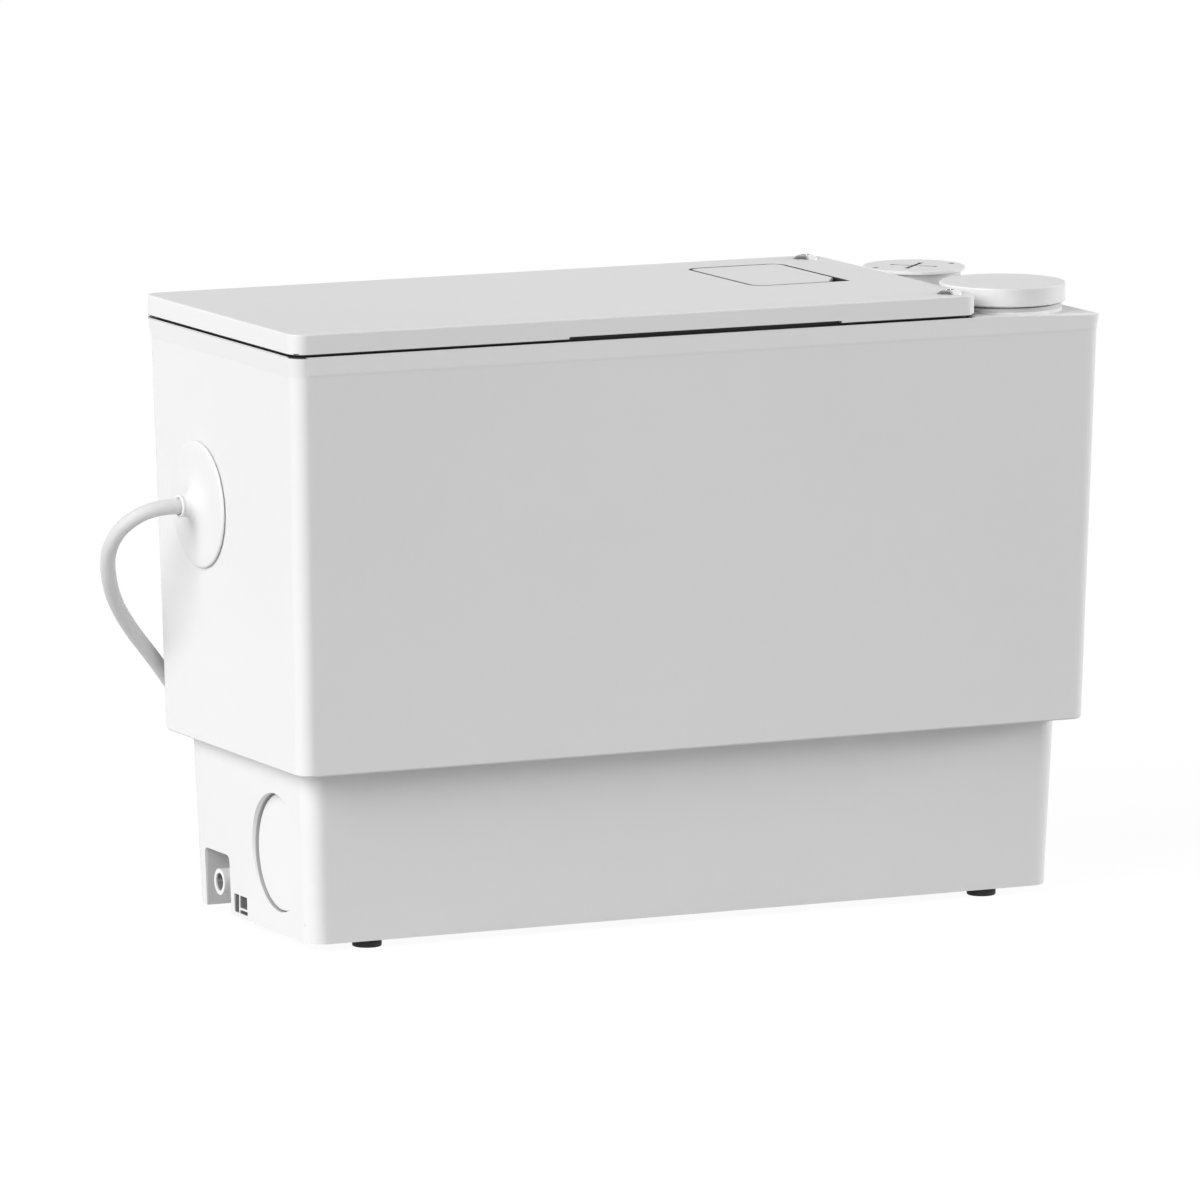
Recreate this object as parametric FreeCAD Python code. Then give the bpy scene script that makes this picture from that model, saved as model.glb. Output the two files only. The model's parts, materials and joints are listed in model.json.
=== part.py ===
import FreeCAD, Part
import math
import os

from FreeCAD import Vector

# Compact sewage lifting unit, in millimetres.
# The origin is on the floor under the middle of the unit. +X runs along the long side towards the two
# capped sockets, +Y to the back and +Z up.

# Heights, each one over the last, from the floor up
foot_height = 4.0
tank_height = 88.0
pump_bay_rise = 48.0
toilet_inlet_rise = 9.0
chamber_headroom = 10.0
deck_room = 58.0
lid_height = 9.9

# Lengths that follow one another from the left end of the rim to its right end
motor_inset = 145.7
riser_offset = 90.0
chamber_gap = 32.0
chamber_length = 163.7

# Casing
rim_width = 179.5
casing_skirt = 4.3
casing_wall = 3.0
casing_draft = 1.42
corner_radius = 8.0
band_height = 10.0
band_flare = 1.0
deck_thickness = 3.0
deck_fall = 2.5
deck_fall_length = 66.0
ledge_width = 8.2
lid_shelf_length = 20.8
casing_lug_length = 14.0
casing_lug_height = 16.0

# Tank
foot_radius = 7.2
foot_stem_radius = 3.0
foot_stem_height = 3.0
foot_end_inset = 33.4
foot_front_inset = 9.7
foot_rear_inset = 11.7
tank_wall = 4.0
tank_floor_thickness = 5.0
end_step = 8.0
face_step = 12.6
tank_end_draft = 2.3
tank_face_draft = 1.7
tank_corner_radius = 10.0
flange_thickness = 4.0
flange_clearance = 0.8
gasket_thickness = 2.0
tank_screw_count = 5
tank_screw_end_inset = 30.0
tank_screw_depth = 7.0
screw_radius = 2.0
screw_head_radius = 3.4
screw_head_height = 2.6
screw_play = 0.1
housing_screw_length = 20.0

# Low side inlets
side_inlet_y = -32.0
side_inlet_height = 43.4
side_socket_radius = 28.8
side_socket_depth = 26.0
side_socket_wall = 3.0
side_bore_radius = 20.0
plug_play = 0.5
plug_inset = 3.0
plug_face_thickness = 2.6
plug_length = 17.0
plug_wall = 2.4
seal_groove_width = 3.2
seal_groove_depth = 1.4
flap_thickness = 2.6
flap_overlap = 2.6
flap_pin_radius = 1.3
flap_pin_play = 0.06

# Floor fixing pockets in the low rear corners of the tank, and the small cored window beside each
pocket_front_y = 25.7
pocket_rear_y = 55.2
pocket_top_height = 32.8
pocket_depth = 17.0
pocket_corner_radius = 3.0
fixing_boss_y = 41.2
fixing_boss_height = 17.6
fixing_boss_radius = 6.4
fixing_hole_radius = 4.3
fixing_boss_recess = 1.0
window_front_y = 6.2
window_rear_y = 21.6
window_base_height = 6.2
window_top_height = 15.2
window_depth = 6.0
window_rib = 1.0
window_rib_y = 15.8
window_ledge_height = 8.6

# Upper tank with the inlet chamber
cover_wall = 3.5
cover_side_gap = 1.2
carrier_ring_height = 3.0
collar_height = 12.0
vent_hatch_offset_x = 25.0
vent_hatch_offset_y = 38.4
vent_outer_radius = 13.0
vent_wall = 2.5
vent_seal_height = 10.0
vent_seal_wall = 3.0
vent_seal_grip = 8.0

# Horizontal toilet inlet in the right end
toilet_pipe_radius = 55.0
toilet_sleeve_wall = 3.0
toilet_socket_wall = 3.0
toilet_socket_length = 5.5
toilet_flange_width = 7.0
toilet_flange_proud = 4.0
sleeve_play = 0.1

# Sockets in the deck
socket_inset = 37.7
discharge_inset = 36.75
top_inlet_inset = 47.75
pipe_40_radius = 20.1
deck_hole_play = 0.4
discharge_cap_radius = 30.8
discharge_cap_rise = 12.0
discharge_cap_gap = 2.7
discharge_cap_roof = 2.0
discharge_cap_wall = 1.9
discharge_ring_radius = 29.1
discharge_ring_height = 2.0
discharge_cup_wall = 3.4
discharge_cup_depth = 6.0
hose_outer_radius = 16.5
hose_wall = 3.0
hose_bend_radius = 23.0
hose_gap = 2.5
hose_end_straight = 6.0
spigot_wall = 2.0
spigot_length = 11.0
inlet_neck_radius = 23.2
inlet_plug_radius = 25.4
inlet_plug_rise = 9.2
inlet_plug_disc = 1.8
inlet_plug_depth = 15.0
cross_slot_length = 22.0
cross_slot_width = 1.8
cross_slot_depth = 1.1
dimple_radius = 1.6
dimple_reach = 21.0
dimple_depth = 0.8

# Lid
lid_gap = 1.1
lid_wall = 2.6
lid_right_inset = 68.9
lid_edge_round = 0.9
lid_seat_offset = 4.0
lid_seat_width = 2.0
lid_lip_play = 0.6
lid_lip_thickness = 2.0
lid_lip_depth = 5.0
lid_rib_count = 5
lid_rib_thickness = 1.6
lid_rib_depth = 4.0
finger_slot_length = 144.0
finger_slot_rise = 1.3
hook_y = 48.0
hook_width = 16.0
hook_leg = 2.0
hook_notch = 4.7
hook_toe_reach = 1.6
hook_toe_drop = 6.5
hook_toe_height = 2.5
hook_play = 0.5
hook_headroom = 1.4
lid_screw_end_inset = 10.3
lid_screw_side_inset = 11.45
lid_screw_head_radius = 4.8
lid_screw_dome = 2.0
lid_screw_recess_radius = 6.6
lid_screw_recess_depth = 2.0
lid_screw_radius = 2.5
lid_screw_length = 24.0
lid_boss_radius = 6.4
lid_boss_length = 14.0
lid_boss_play = 0.8

# Filter hatch in the lid and the filter under it
hatch_right_inset = 32.4
hatch_length = 50.4
hatch_rear_inset = 25.15
hatch_width = 77.0
hatch_gap = 1.0
hatch_corner_radius = 6.5
hatch_cut_x = 9.5
hatch_cut_y = 15.5
hatch_edge_round = 1.2
tray_wall = 2.2
tray_drop = 17.0
tray_floor_thickness = 2.0
tray_inset = 2.4
tray_ledge_thickness = 2.0
filter_play = 1.2
filter_height = 18.0
filter_slot_count = 9
filter_slot_width = 2.6

# Pump set
carrier_radius = 66.0
carrier_thickness = 6.0
carrier_hub_radius = 24.0
carrier_hub_depth = 42.0
pump_opening_radius = 53.0
carrier_screw_circle = 120.0
carrier_screw_count = 6
motor_radius = 52.0
motor_wall = 3.0
motor_height = 82.0
motor_fin_count = 24
motor_fin_height = 2.5
motor_fin_thickness = 1.6
end_cover_height = 15.0
stator_inner_radius = 29.0
stator_height = 46.0
winding_height = 12.0
winding_wall = 11.0
rotor_gap = 0.5
shaft_radius = 6.0
shaft_tip_reach = 22.0
running_play = 0.04
bearing_radius = 16.0
bearing_height = 10.0
seal_outer_radius = 14.0
seal_height = 9.0
volute_outer_radius = 47.0
volute_wall = 5.0
volute_height = 52.0
volute_suction_radius = 17.0
outlet_outer_radius = 16.5
outlet_bore_radius = 13.0
outlet_length = 62.0
impeller_radius = 37.0
impeller_disc = 4.0
impeller_vane_height = 24.0
impeller_vane_thickness = 4.0
impeller_vane_count = 5
impeller_play = 3.0
cutter_plate_radius = 31.0
cutter_plate_thickness = 6.0
cutter_slot_count = 8
cutter_slot_width = 5.0
cutter_knife_radius = 27.0
cutter_knife_thickness = 5.0
cutter_knife_width = 11.0
cutter_play = 0.5
cutter_nut_radius = 9.0
cutter_nut_height = 7.0

# Discharge line
elbow_bend_radius = 24.0
riser_grommet_wall = 2.5
valve_gap = 10.0
valve_radius = 24.0
valve_wall = 4.0
valve_flap_radius = 16.0
clamp_thickness = 1.0
clamp_width = 8.0
clamp_screw_radius = 2.6
clamp_screw_length = 10.0
coupling_wall = 2.5
coupling_length = 13.0

# Level sensing and electrics
bell_radius = 10.0
bell_wall = 2.0
bell_side_gap = 2.3
bell_floor_gap = 15.0
bell_flange_radius = 12.5
bell_flange_thickness = 3.0
bell_ring_gap = 0.8
bell_nipple_radius = 3.0
bell_nipple_height = 14.0
air_hose_radius = 4.5
air_hose_rise = 34.0
air_hose_bend_radius = 9.0
control_box_inset = 3.9
control_box_hose_room = 14.0
control_box_width = 116.0
control_box_height = 108.0
control_box_wall = 2.4
control_cover_thickness = 3.0
board_thickness = 1.6
board_height = 74.0
board_side_gap = 4.5
board_post_height = 4.0
board_post_radius = 2.5
board_post_inset = 3.5
board_rise = 10.0
relay_width = 20.0
relay_depth = 15.0
relay_rise = 40.0
choke_width = 16.0
choke_depth = 12.0
choke_height = 18.0
fuse_length = 22.0
fuse_depth = 8.0
fuse_height = 7.0
storage_radius = 5.0
storage_depth = 14.0
part_spacing = 4.0
terminal_side_gap = 12.0
terminal_front_gap = 34.0
sensor_radius = 17.0
sensor_height = 16.0
sensor_wall = 3.0
sensor_nipple_reach = 4.5
capacitor_radius = 17.0
capacitor_height = 66.0
capacitor_offset = 92.0
capacitor_y = 34.0
lead_radius = 3.0

# Cable gland and mains lead
gland_side_inset = 61.45
gland_drop = 84.4
gland_radius = 30.6
gland_back = 17.0
gland_flange_thickness = 2.0
gland_nozzle_reach = 11.4
gland_nozzle_root_radius = 15.0
gland_nozzle_tip_radius = 5.1
gland_neck_radius = 11.0
gland_nut_radius = 16.0
gland_nut_thickness = 5.0
cord_radius = 3.7
coil_radius = 51.0
coil_pitch = 9.2
coil_x = -62.0
coil_y = 172.0
coil_turns_in = 2.0
coil_turns_out = 1.5
plug_coil_reach = 108.0
plug_coil_offset = 36.0
plug_face_radius = 18.5
plug_body_length = 34.0
plug_tail_length = 22.0
plug_tail_radius = 6.5
plug_pin_radius = 2.4
plug_pin_length = 19.0
plug_pin_spacing = 19.0

UP = Vector(0, 0, 1)
RIGHT = Vector(1, 0, 0)
BACK = Vector(0, 1, 0)

# Heights that follow
flange_base_height = foot_height + tank_height
gasket_base = flange_base_height + flange_thickness
cover_base = gasket_base + gasket_thickness
cover_flange_top = cover_base + flange_thickness
pump_bay_height = cover_flange_top + pump_bay_rise
toilet_inlet_height = cover_flange_top + toilet_inlet_rise + toilet_pipe_radius
chamber_height = toilet_inlet_height + toilet_pipe_radius + chamber_headroom
hose_run_height = chamber_height + hose_gap + hose_outer_radius
rim_height = chamber_height + deck_room
casing_base_height = flange_base_height - casing_skirt
deck_base = rim_height - deck_thickness
band_base_height = rim_height - band_height
lid_base = rim_height + lid_gap
lid_top_height = lid_base + lid_height
lid_roof = lid_top_height - lid_wall
lid_lip_base = rim_height - lid_lip_depth
hook_toe_base = rim_height - hook_toe_drop
tray_base_height = rim_height - tray_drop
vent_height = tray_base_height - vent_seal_height
discharge_cap_top = rim_height + discharge_cap_rise
discharge_cap_base = rim_height + discharge_cap_gap
discharge_cup_floor = rim_height - discharge_cup_depth
inlet_plug_top = rim_height + inlet_plug_rise
inlet_rim = inlet_plug_top - inlet_plug_disc
gland_height = rim_height - gland_drop
bell_base_height = foot_height + tank_floor_thickness + bell_floor_gap

# Places that follow, with the origin under the middle of the rim
rim_length = motor_inset + riser_offset + chamber_gap + chamber_length
motor_x = motor_inset - rim_length / 2
riser_x = motor_x + riser_offset
chamber_left_x = riser_x + chamber_gap
capacitor_x = motor_x + capacitor_offset
opening_left_x = ledge_width - rim_length / 2
opening_half_width = rim_width / 2 - ledge_width
lid_right_x = rim_length / 2 - lid_right_inset
opening_right_x = lid_right_x - lid_shelf_length
lid_screw_x = lid_right_x - lid_screw_end_inset
lid_screw_y = rim_width / 2 - lid_screw_side_inset
hatch_right_x = lid_right_x - hatch_right_inset
hatch_left_x = hatch_right_x - hatch_length
hatch_rear_y = rim_width / 2 - hatch_rear_inset
hatch_front_y = hatch_rear_y - hatch_width
vent_x = hatch_left_x + vent_hatch_offset_x
vent_y = hatch_front_y + vent_hatch_offset_y
socket_x = rim_length / 2 - socket_inset
discharge_y = discharge_inset - rim_width / 2
top_inlet_y = rim_width / 2 - top_inlet_inset
gland_y = rim_width / 2 - gland_side_inset


# Shapes that many pieces share
def rounded_outline(x0, x1, y0, y1, radius, z):
    inset = radius * (1 - math.sqrt(0.5))

    def at(x, y):
        return Vector(x, y, z)

    edges = [
        Part.LineSegment(at(x0 + radius, y0), at(x1 - radius, y0)),
        Part.Arc(at(x1 - radius, y0), at(x1 - inset, y0 + inset), at(x1, y0 + radius)),
        Part.LineSegment(at(x1, y0 + radius), at(x1, y1 - radius)),
        Part.Arc(at(x1, y1 - radius), at(x1 - inset, y1 - inset), at(x1 - radius, y1)),
        Part.LineSegment(at(x1 - radius, y1), at(x0 + radius, y1)),
        Part.Arc(at(x0 + radius, y1), at(x0 + inset, y1 - inset), at(x0, y1 - radius)),
        Part.LineSegment(at(x0, y1 - radius), at(x0, y0 + radius)),
        Part.Arc(at(x0, y0 + radius), at(x0 + inset, y0 + inset), at(x0 + radius, y0)),
    ]
    return Part.Wire([edge.toShape() for edge in edges])


def centred_outline(half_length, half_width, radius, z):
    return rounded_outline(-half_length, half_length, -half_width, half_width, radius, z)


def loft(outlines):
    return Part.makeLoft(outlines, True, True)


def rounded_block(x0, x1, y0, y1, z0, z1, radius):
    face = Part.Face(rounded_outline(x0, x1, y0, y1, radius, z0))
    return face.extrude(Vector(0, 0, z1 - z0))


def block(x0, x1, y0, y1, z0, z1):
    return Part.makeBox(x1 - x0, y1 - y0, z1 - z0, Vector(x0, y0, z0))


def cylinder(radius, height, base, axis=UP):
    return Part.makeCylinder(radius, height, base, axis)


def tube(outer, inner, height, base, axis=UP):
    return cylinder(outer, height, base, axis).cut(cylinder(inner, height, base, axis))


def turned(profile, base, axis=UP):
    # A closed outline of (radius, height) points, turned about an axis through base.
    points = [Vector(radius, 0, height) for radius, height in profile]
    face = Part.Face(Part.makePolygon(points + points[:1]))
    solid = face.revolve(Vector(0, 0, 0), UP, 360)
    solid.Placement = FreeCAD.Placement(base, FreeCAD.Rotation(UP, axis))
    return solid


def fused(shapes):
    whole = shapes[0]
    for shape in shapes[1:]:
        whole = whole.fuse(shape)
    return whole.removeSplitter()


def mirrored(shape):
    # The same piece at the other end of the unit.
    return shape.mirror(Vector(0, 0, 0), RIGHT)


def edges_at_height(shape, height):
    return [edge for edge in shape.Edges if all(abs(end.Z - height) < 0.01 for end in edge.Vertexes)]


def tan(degrees):
    return math.tan(math.radians(degrees))


# The casing narrows downwards from the rim, with a short flared band just under the rim
def casing_half_length(z):
    return rim_length / 2 - band_flare - (rim_height - z) * tan(casing_draft)


def casing_half_width(z):
    return rim_width / 2 - band_flare - (rim_height - z) * tan(casing_draft)


def tank_half_length(z):
    at_step = casing_half_length(casing_base_height) - end_step
    return at_step - (casing_base_height - z) * tan(tank_end_draft)


def tank_half_width(z):
    at_step = casing_half_width(casing_base_height) - face_step
    return at_step - (casing_base_height - z) * tan(tank_face_draft)


flange_half_length = casing_half_length(flange_base_height) - casing_wall - flange_clearance
flange_half_width = casing_half_width(flange_base_height) - casing_wall - flange_clearance
cover_half_length = tank_half_length(flange_base_height)
cover_half_width = tank_half_width(flange_base_height) - cover_side_gap
flange_screw_y = (cover_half_width + flange_half_width) / 2 + 0.6
tank_screw_reach = flange_half_length - tank_screw_end_inset
tank_screw_spacing = 2 * tank_screw_reach / (tank_screw_count - 1)
casing_screw_x = tank_screw_reach - tank_screw_spacing / 2


def rounded_block_along_x(x0, x1, y0, y1, z0, z1, radius):
    shape = rounded_block(y0, y1, z0, z1, x0, x1, radius)
    shape.Placement = FreeCAD.Placement(Vector(0, 0, 0), FreeCAD.Rotation(BACK, UP, RIGHT, "ZXY"))
    return shape


def tank_outline(z, inset=0.0):
    radius = tank_corner_radius - inset
    return centred_outline(tank_half_length(z) - inset, tank_half_width(z) - inset, radius, z)


def casing_outline(z, inset=0.0):
    radius = corner_radius - inset
    return centred_outline(casing_half_length(z) - inset, casing_half_width(z) - inset, radius, z)


def rim_outline(z, inset=0.0):
    return centred_outline(rim_length / 2 - inset, rim_width / 2 - inset, corner_radius - inset, z)


def bent_path(points, bend_radius):
    # Straight runs joined by tangent arcs, one radius for all bends or one for each.
    count = len(points) - 2
    radii = bend_radius if isinstance(bend_radius, list) else [bend_radius] * count
    edges = []
    start = points[0]
    for before, corner, after, radius in zip(points, points[1:], points[2:], radii):
        inward = (before - corner).normalize()
        onward = (after - corner).normalize()
        half_turn = (math.pi - inward.getAngle(onward)) / 2
        reach = radius * math.tan(half_turn)
        arc_start = corner + inward * reach
        arc_end = corner + onward * reach
        middle = (inward + onward).normalize()
        arc_middle = corner + middle * (radius / math.cos(half_turn) - radius)
        edges.append(Part.LineSegment(start, arc_start).toShape())
        edges.append(Part.Arc(arc_start, arc_middle, arc_end).toShape())
        start = arc_end
    edges.append(Part.LineSegment(start, points[-1]).toShape())
    return Part.Wire(edges)


def swept(path, radius, start, direction):
    ring = Part.Wire([Part.Circle(start, direction, radius).toShape()])
    return path.makePipeShell([ring], True, False)


def bent_tube(points, bend_radius, outer, inner=0.0):
    path = bent_path(points, bend_radius)
    direction = points[1] - points[0]
    body = swept(path, outer, points[0], direction)
    if inner:
        body = body.cut(swept(path, inner, points[0], direction))
    return body


# Screw places
def tank_screw_places():
    row = [tank_screw_spacing * index - tank_screw_reach for index in range(tank_screw_count)]
    return [(x, side * flange_screw_y) for side in (-1, 1) for x in row]


def casing_screw_places():
    return [(x, y) for x in (-casing_screw_x, casing_screw_x) for y in (-flange_screw_y, flange_screw_y)]


def carrier_screw_places():
    step = 2 * math.pi / carrier_screw_count
    reach = carrier_screw_circle / 2
    angles = [step * (index + 0.5) for index in range(carrier_screw_count)]
    return [(motor_x + reach * math.cos(angle), reach * math.sin(angle)) for angle in angles]


def pan_screw(x, y, seat, length, up=True):
    # A round-headed screw whose head rests on the seat, with its shank going down, or up if turned over.
    profile = [
        (0, -length), (screw_radius * 0.6, -length), (screw_radius, -length + 1.5), (screw_radius, 0),
        (screw_head_radius, 0), (screw_head_radius, screw_head_height * 0.5),
        (screw_head_radius * 0.7, screw_head_height), (0, screw_head_height),
    ]
    screw = turned(profile, Vector(x, y, seat), UP if up else -UP)
    sign = 1 if up else -1
    slot_base = seat + sign * screw_head_height * 0.55
    low, high = sorted((slot_base, seat + sign * (screw_head_height + 1)))
    reach = screw_head_radius * 0.6
    return screw.cut(block(x - reach, x + reach, y - 0.5, y + 0.5, low, high))


# Tank
side_face_x = tank_half_length(side_inlet_height)
socket_end_x = side_face_x - side_socket_depth
socket_back_x = socket_end_x - side_socket_wall
pocket_face_x = tank_half_length(fixing_boss_height)
pocket_back_x = pocket_face_x - pocket_depth
flap_axis_x = socket_back_x - flap_thickness / 2
flap_axis_height = side_inlet_height + side_bore_radius + flap_overlap + 2.5
ear_width = 3.0
ear_offset = 8.0


def flap_ears():
    # Two ears on the back of a side socket that hold the flap's pin.
    ears = []
    reach = flap_pin_radius + 1.8
    for side in (-1, 1):
        middle = side_inlet_y + side * (ear_offset + ear_width / 2)
        y0 = middle - ear_width / 2
        y1 = middle + ear_width / 2
        z0 = flap_axis_height - flap_pin_radius - 0.9
        z1 = flap_axis_height + reach
        ear = block(flap_axis_x - reach, socket_back_x + 1, y0, y1, z0, z1)
        pin_hole = cylinder(flap_pin_radius + flap_pin_play, ear_width + 2,
                            Vector(flap_axis_x, y0 - 1, flap_axis_height), BACK)
        ears.append(ear.cut(pin_hole))
    return ears


def end_additions():
    # Walls inside the right end of the tank: the side socket, the pocket and the window.
    socket = cylinder(
        side_socket_radius + side_socket_wall, side_socket_depth + side_socket_wall + 10,
        Vector(socket_back_x, side_inlet_y, side_inlet_height), RIGHT)
    floor_top = foot_height + tank_floor_thickness
    wall = side_socket_wall
    outside = side_face_x + 10
    pocket = block(pocket_back_x - wall, outside, pocket_front_y - wall, pocket_rear_y + wall,
                   foot_height, pocket_top_height + wall)
    window_back_x = pocket_face_x - window_depth
    window = block(window_back_x - wall, outside, window_front_y - wall, pocket_front_y,
                   foot_height, max(window_top_height, floor_top) + wall)
    return [socket, pocket, window]


def end_cuts():
    outside = side_face_x + 20
    bore = cylinder(side_socket_radius, outside - socket_end_x,
                    Vector(socket_end_x, side_inlet_y, side_inlet_height), RIGHT)
    mouth = cylinder(side_bore_radius, outside,
                     Vector(socket_back_x - 1, side_inlet_y, side_inlet_height), RIGHT)
    pocket = rounded_block_along_x(pocket_back_x, outside, pocket_front_y, pocket_rear_y,
                                   -pocket_corner_radius * 2, pocket_top_height, pocket_corner_radius)
    window = block(pocket_face_x - window_depth, outside, window_front_y, window_rear_y,
                   window_base_height, window_top_height)
    return [bore, mouth, pocket, window]


def end_details():
    # The fixing boss in the pocket, the thin ribs in the window and the ears of the flap.
    boss = tube(fixing_boss_radius, fixing_hole_radius, pocket_depth - fixing_boss_recess,
                Vector(pocket_back_x, fixing_boss_y, fixing_boss_height), RIGHT)
    face = pocket_face_x - 0.4
    back = pocket_face_x - window_depth
    rib = block(back, face, window_rib_y - window_rib / 2, window_rib_y + window_rib / 2,
                window_base_height, window_top_height)
    ledge = block(back, face, window_front_y, window_rib_y,
                  window_ledge_height - window_rib / 2, window_ledge_height + window_rib / 2)
    return [boss, rib, ledge] + flap_ears()


def make_tank():
    outer = loft([tank_outline(foot_height), tank_outline(flange_base_height)])
    flange = loft([
        centred_outline(flange_half_length, flange_half_width, tank_corner_radius, flange_base_height),
        centred_outline(flange_half_length, flange_half_width, tank_corner_radius, gasket_base),
    ])
    cavity = loft([
        tank_outline(foot_height + tank_floor_thickness, tank_wall),
        tank_outline(gasket_base + 1, tank_wall),
    ])
    tank = outer.fuse(flange).cut(cavity)
    additions = end_additions()
    additions += [mirrored(piece) for piece in additions]
    tank = tank.fuse([piece.common(outer) for piece in additions])
    bosses = [cylinder(screw_head_radius + 0.8, flange_base_height - casing_base_height - 0.5,
                       Vector(x, y, casing_base_height + 0.5)) for x, y in tank_screw_places()]
    tank = tank.fuse(bosses)
    cuts = end_cuts()
    cuts += [mirrored(piece) for piece in cuts]
    for x, y in tank_screw_places():
        cuts.append(cylinder(screw_radius, tank_screw_depth + 1,
                             Vector(x, y, gasket_base - tank_screw_depth)))
    for x, y in casing_screw_places():
        cuts.append(cylinder(screw_radius + screw_play, flange_thickness + 2,
                             Vector(x, y, flange_base_height - 1)))
    for x, y in foot_places():
        cuts.append(cylinder(foot_stem_radius + screw_play, foot_stem_height + 0.2,
                             Vector(x, y, foot_height)))
    tank = tank.cut(cuts)
    details = end_details()
    details += [mirrored(piece) for piece in details]
    return fused([tank] + details)


def foot_places():
    foot_x = tank_half_length(foot_height) - foot_end_inset
    half_width = tank_half_width(foot_height)
    rows = (foot_front_inset - half_width, half_width - foot_rear_inset)
    return [(x, y) for x in (-foot_x, foot_x) for y in rows]


def make_feet():
    profile = [
        (0, 0), (foot_radius - 1, 0), (foot_radius, 1), (foot_radius, foot_height),
        (foot_stem_radius, foot_height), (foot_stem_radius, foot_height + foot_stem_height),
        (0, foot_height + foot_stem_height),
    ]
    return [turned(profile, Vector(x, y, 0)) for x, y in foot_places()]


def make_tank_gasket():
    edge = 0.6
    outer = Part.Face(centred_outline(
        flange_half_length - edge, flange_half_width - edge, tank_corner_radius - edge, gasket_base))
    ring = outer.extrude(UP * gasket_thickness)
    inner = Part.Face(tank_outline(gasket_base, tank_wall)).extrude(UP * (gasket_thickness + 1))
    cuts = [inner]
    for x, y in tank_screw_places() + casing_screw_places():
        cuts.append(cylinder(screw_radius + screw_play, gasket_thickness + 2, Vector(x, y, gasket_base - 1)))
    return ring.cut(cuts)


# Upper tank: pump bay on the left, inlet chamber on the right
carrier_base = pump_bay_height + carrier_ring_height
carrier_top = carrier_base + carrier_thickness
volute_outlet_y = -(volute_outer_radius - volute_wall - outlet_bore_radius)
toilet_sleeve_radius = toilet_pipe_radius + toilet_sleeve_wall
toilet_socket_bore = toilet_sleeve_radius + sleeve_play
toilet_socket_radius = toilet_socket_bore + toilet_socket_wall
riser_hole_radius = outlet_outer_radius + riser_grommet_wall
carrier_screw_hole_base = carrier_top - housing_screw_length - 1


def make_tank_cover():
    left, right = -cover_half_length, cover_half_length
    front, rear = -cover_half_width, cover_half_width
    radius = tank_corner_radius
    wall = cover_wall
    flange = rounded_block(-flange_half_length, flange_half_length, -flange_half_width, flange_half_width,
                           cover_base, cover_flange_top, radius)
    bay = rounded_block(left, right, front, rear, cover_base, pump_bay_height, radius)
    chamber = rounded_block(chamber_left_x - wall, right, front, rear, cover_base, chamber_height, radius)
    socket = cylinder(toilet_socket_radius, toilet_socket_length + wall,
                      Vector(right - wall, 0, toilet_inlet_height), RIGHT)
    ring = cylinder(carrier_radius, carrier_ring_height, Vector(motor_x, 0, pump_bay_height))
    collar = cylinder(inlet_neck_radius + sleeve_play + wall, collar_height,
                      Vector(socket_x, top_inlet_y, chamber_height))
    vent = cylinder(vent_outer_radius, vent_height - chamber_height + 1,
                    Vector(vent_x, vent_y, chamber_height - 1))
    body = flange.fuse([bay, chamber, socket, ring, collar, vent])
    bay_cavity = rounded_block(left + wall, right - wall, front + wall, rear - wall,
                               cover_base - 1, pump_bay_height - wall, radius - wall)
    chamber_cavity = rounded_block(chamber_left_x, right - wall, front + wall, rear - wall,
                                   cover_base - 1, chamber_height - wall, radius - wall)
    body = body.cut([bay_cavity, chamber_cavity])
    screw_bosses = []
    for x, y in carrier_screw_places():
        boss_base = carrier_screw_hole_base - 2
        screw_bosses.append(cylinder(screw_head_radius + 1.0, carrier_base - boss_base,
                                     Vector(x, y, boss_base)))
    body = body.fuse(screw_bosses)
    cuts = [
        cylinder(toilet_socket_bore, toilet_socket_length + wall + 2,
                 Vector(right - wall - 1, 0, toilet_inlet_height), RIGHT),
        cylinder(pump_opening_radius, 30, Vector(motor_x, 0, pump_bay_height - 15)),
        cylinder(pipe_40_radius, wall + 2, Vector(socket_x, top_inlet_y, chamber_height - wall - 1)),
        cylinder(inlet_neck_radius + sleeve_play, collar_height + 1,
                 Vector(socket_x, top_inlet_y, chamber_height)),
        cylinder(vent_outer_radius - vent_wall, vent_height,
                 Vector(vent_x, vent_y, chamber_height - wall - 1)),
        cylinder(bell_radius + screw_play, wall + 2, Vector(bell_x, bell_y, pump_bay_height - wall - 1)),
        cylinder(riser_hole_radius, wall + 2, Vector(riser_x, volute_outlet_y, pump_bay_height - wall - 1)),
    ]
    for x, y in carrier_screw_places():
        cuts.append(cylinder(screw_radius, housing_screw_length, Vector(x, y, carrier_screw_hole_base)))
    for x, y in tank_screw_places() + casing_screw_places():
        cuts.append(cylinder(screw_radius + screw_play, flange_thickness + 2, Vector(x, y, cover_base - 1)))
    return body.cut(cuts).removeSplitter()


def make_tank_screws():
    length = cover_flange_top - gasket_base + tank_screw_depth - 0.5
    return [pan_screw(x, y, cover_flange_top, length) for x, y in tank_screw_places()]


# Casing
gland_axis = Vector(-math.cos(math.radians(casing_draft)), 0, -math.sin(math.radians(casing_draft)))
gland_seat = Vector(-casing_half_length(gland_height), gland_y, gland_height)
casing_screw_depth = casing_lug_height - 3
lid_pivot_x = -rim_length / 2
hook_left_x = lid_pivot_x + lid_seat_offset + 0.4


def casing_outer():
    edge = 0.7
    return loft([
        casing_outline(casing_base_height, edge), casing_outline(casing_base_height + edge),
        casing_outline(band_base_height), rim_outline(rim_height),
    ])


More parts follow.
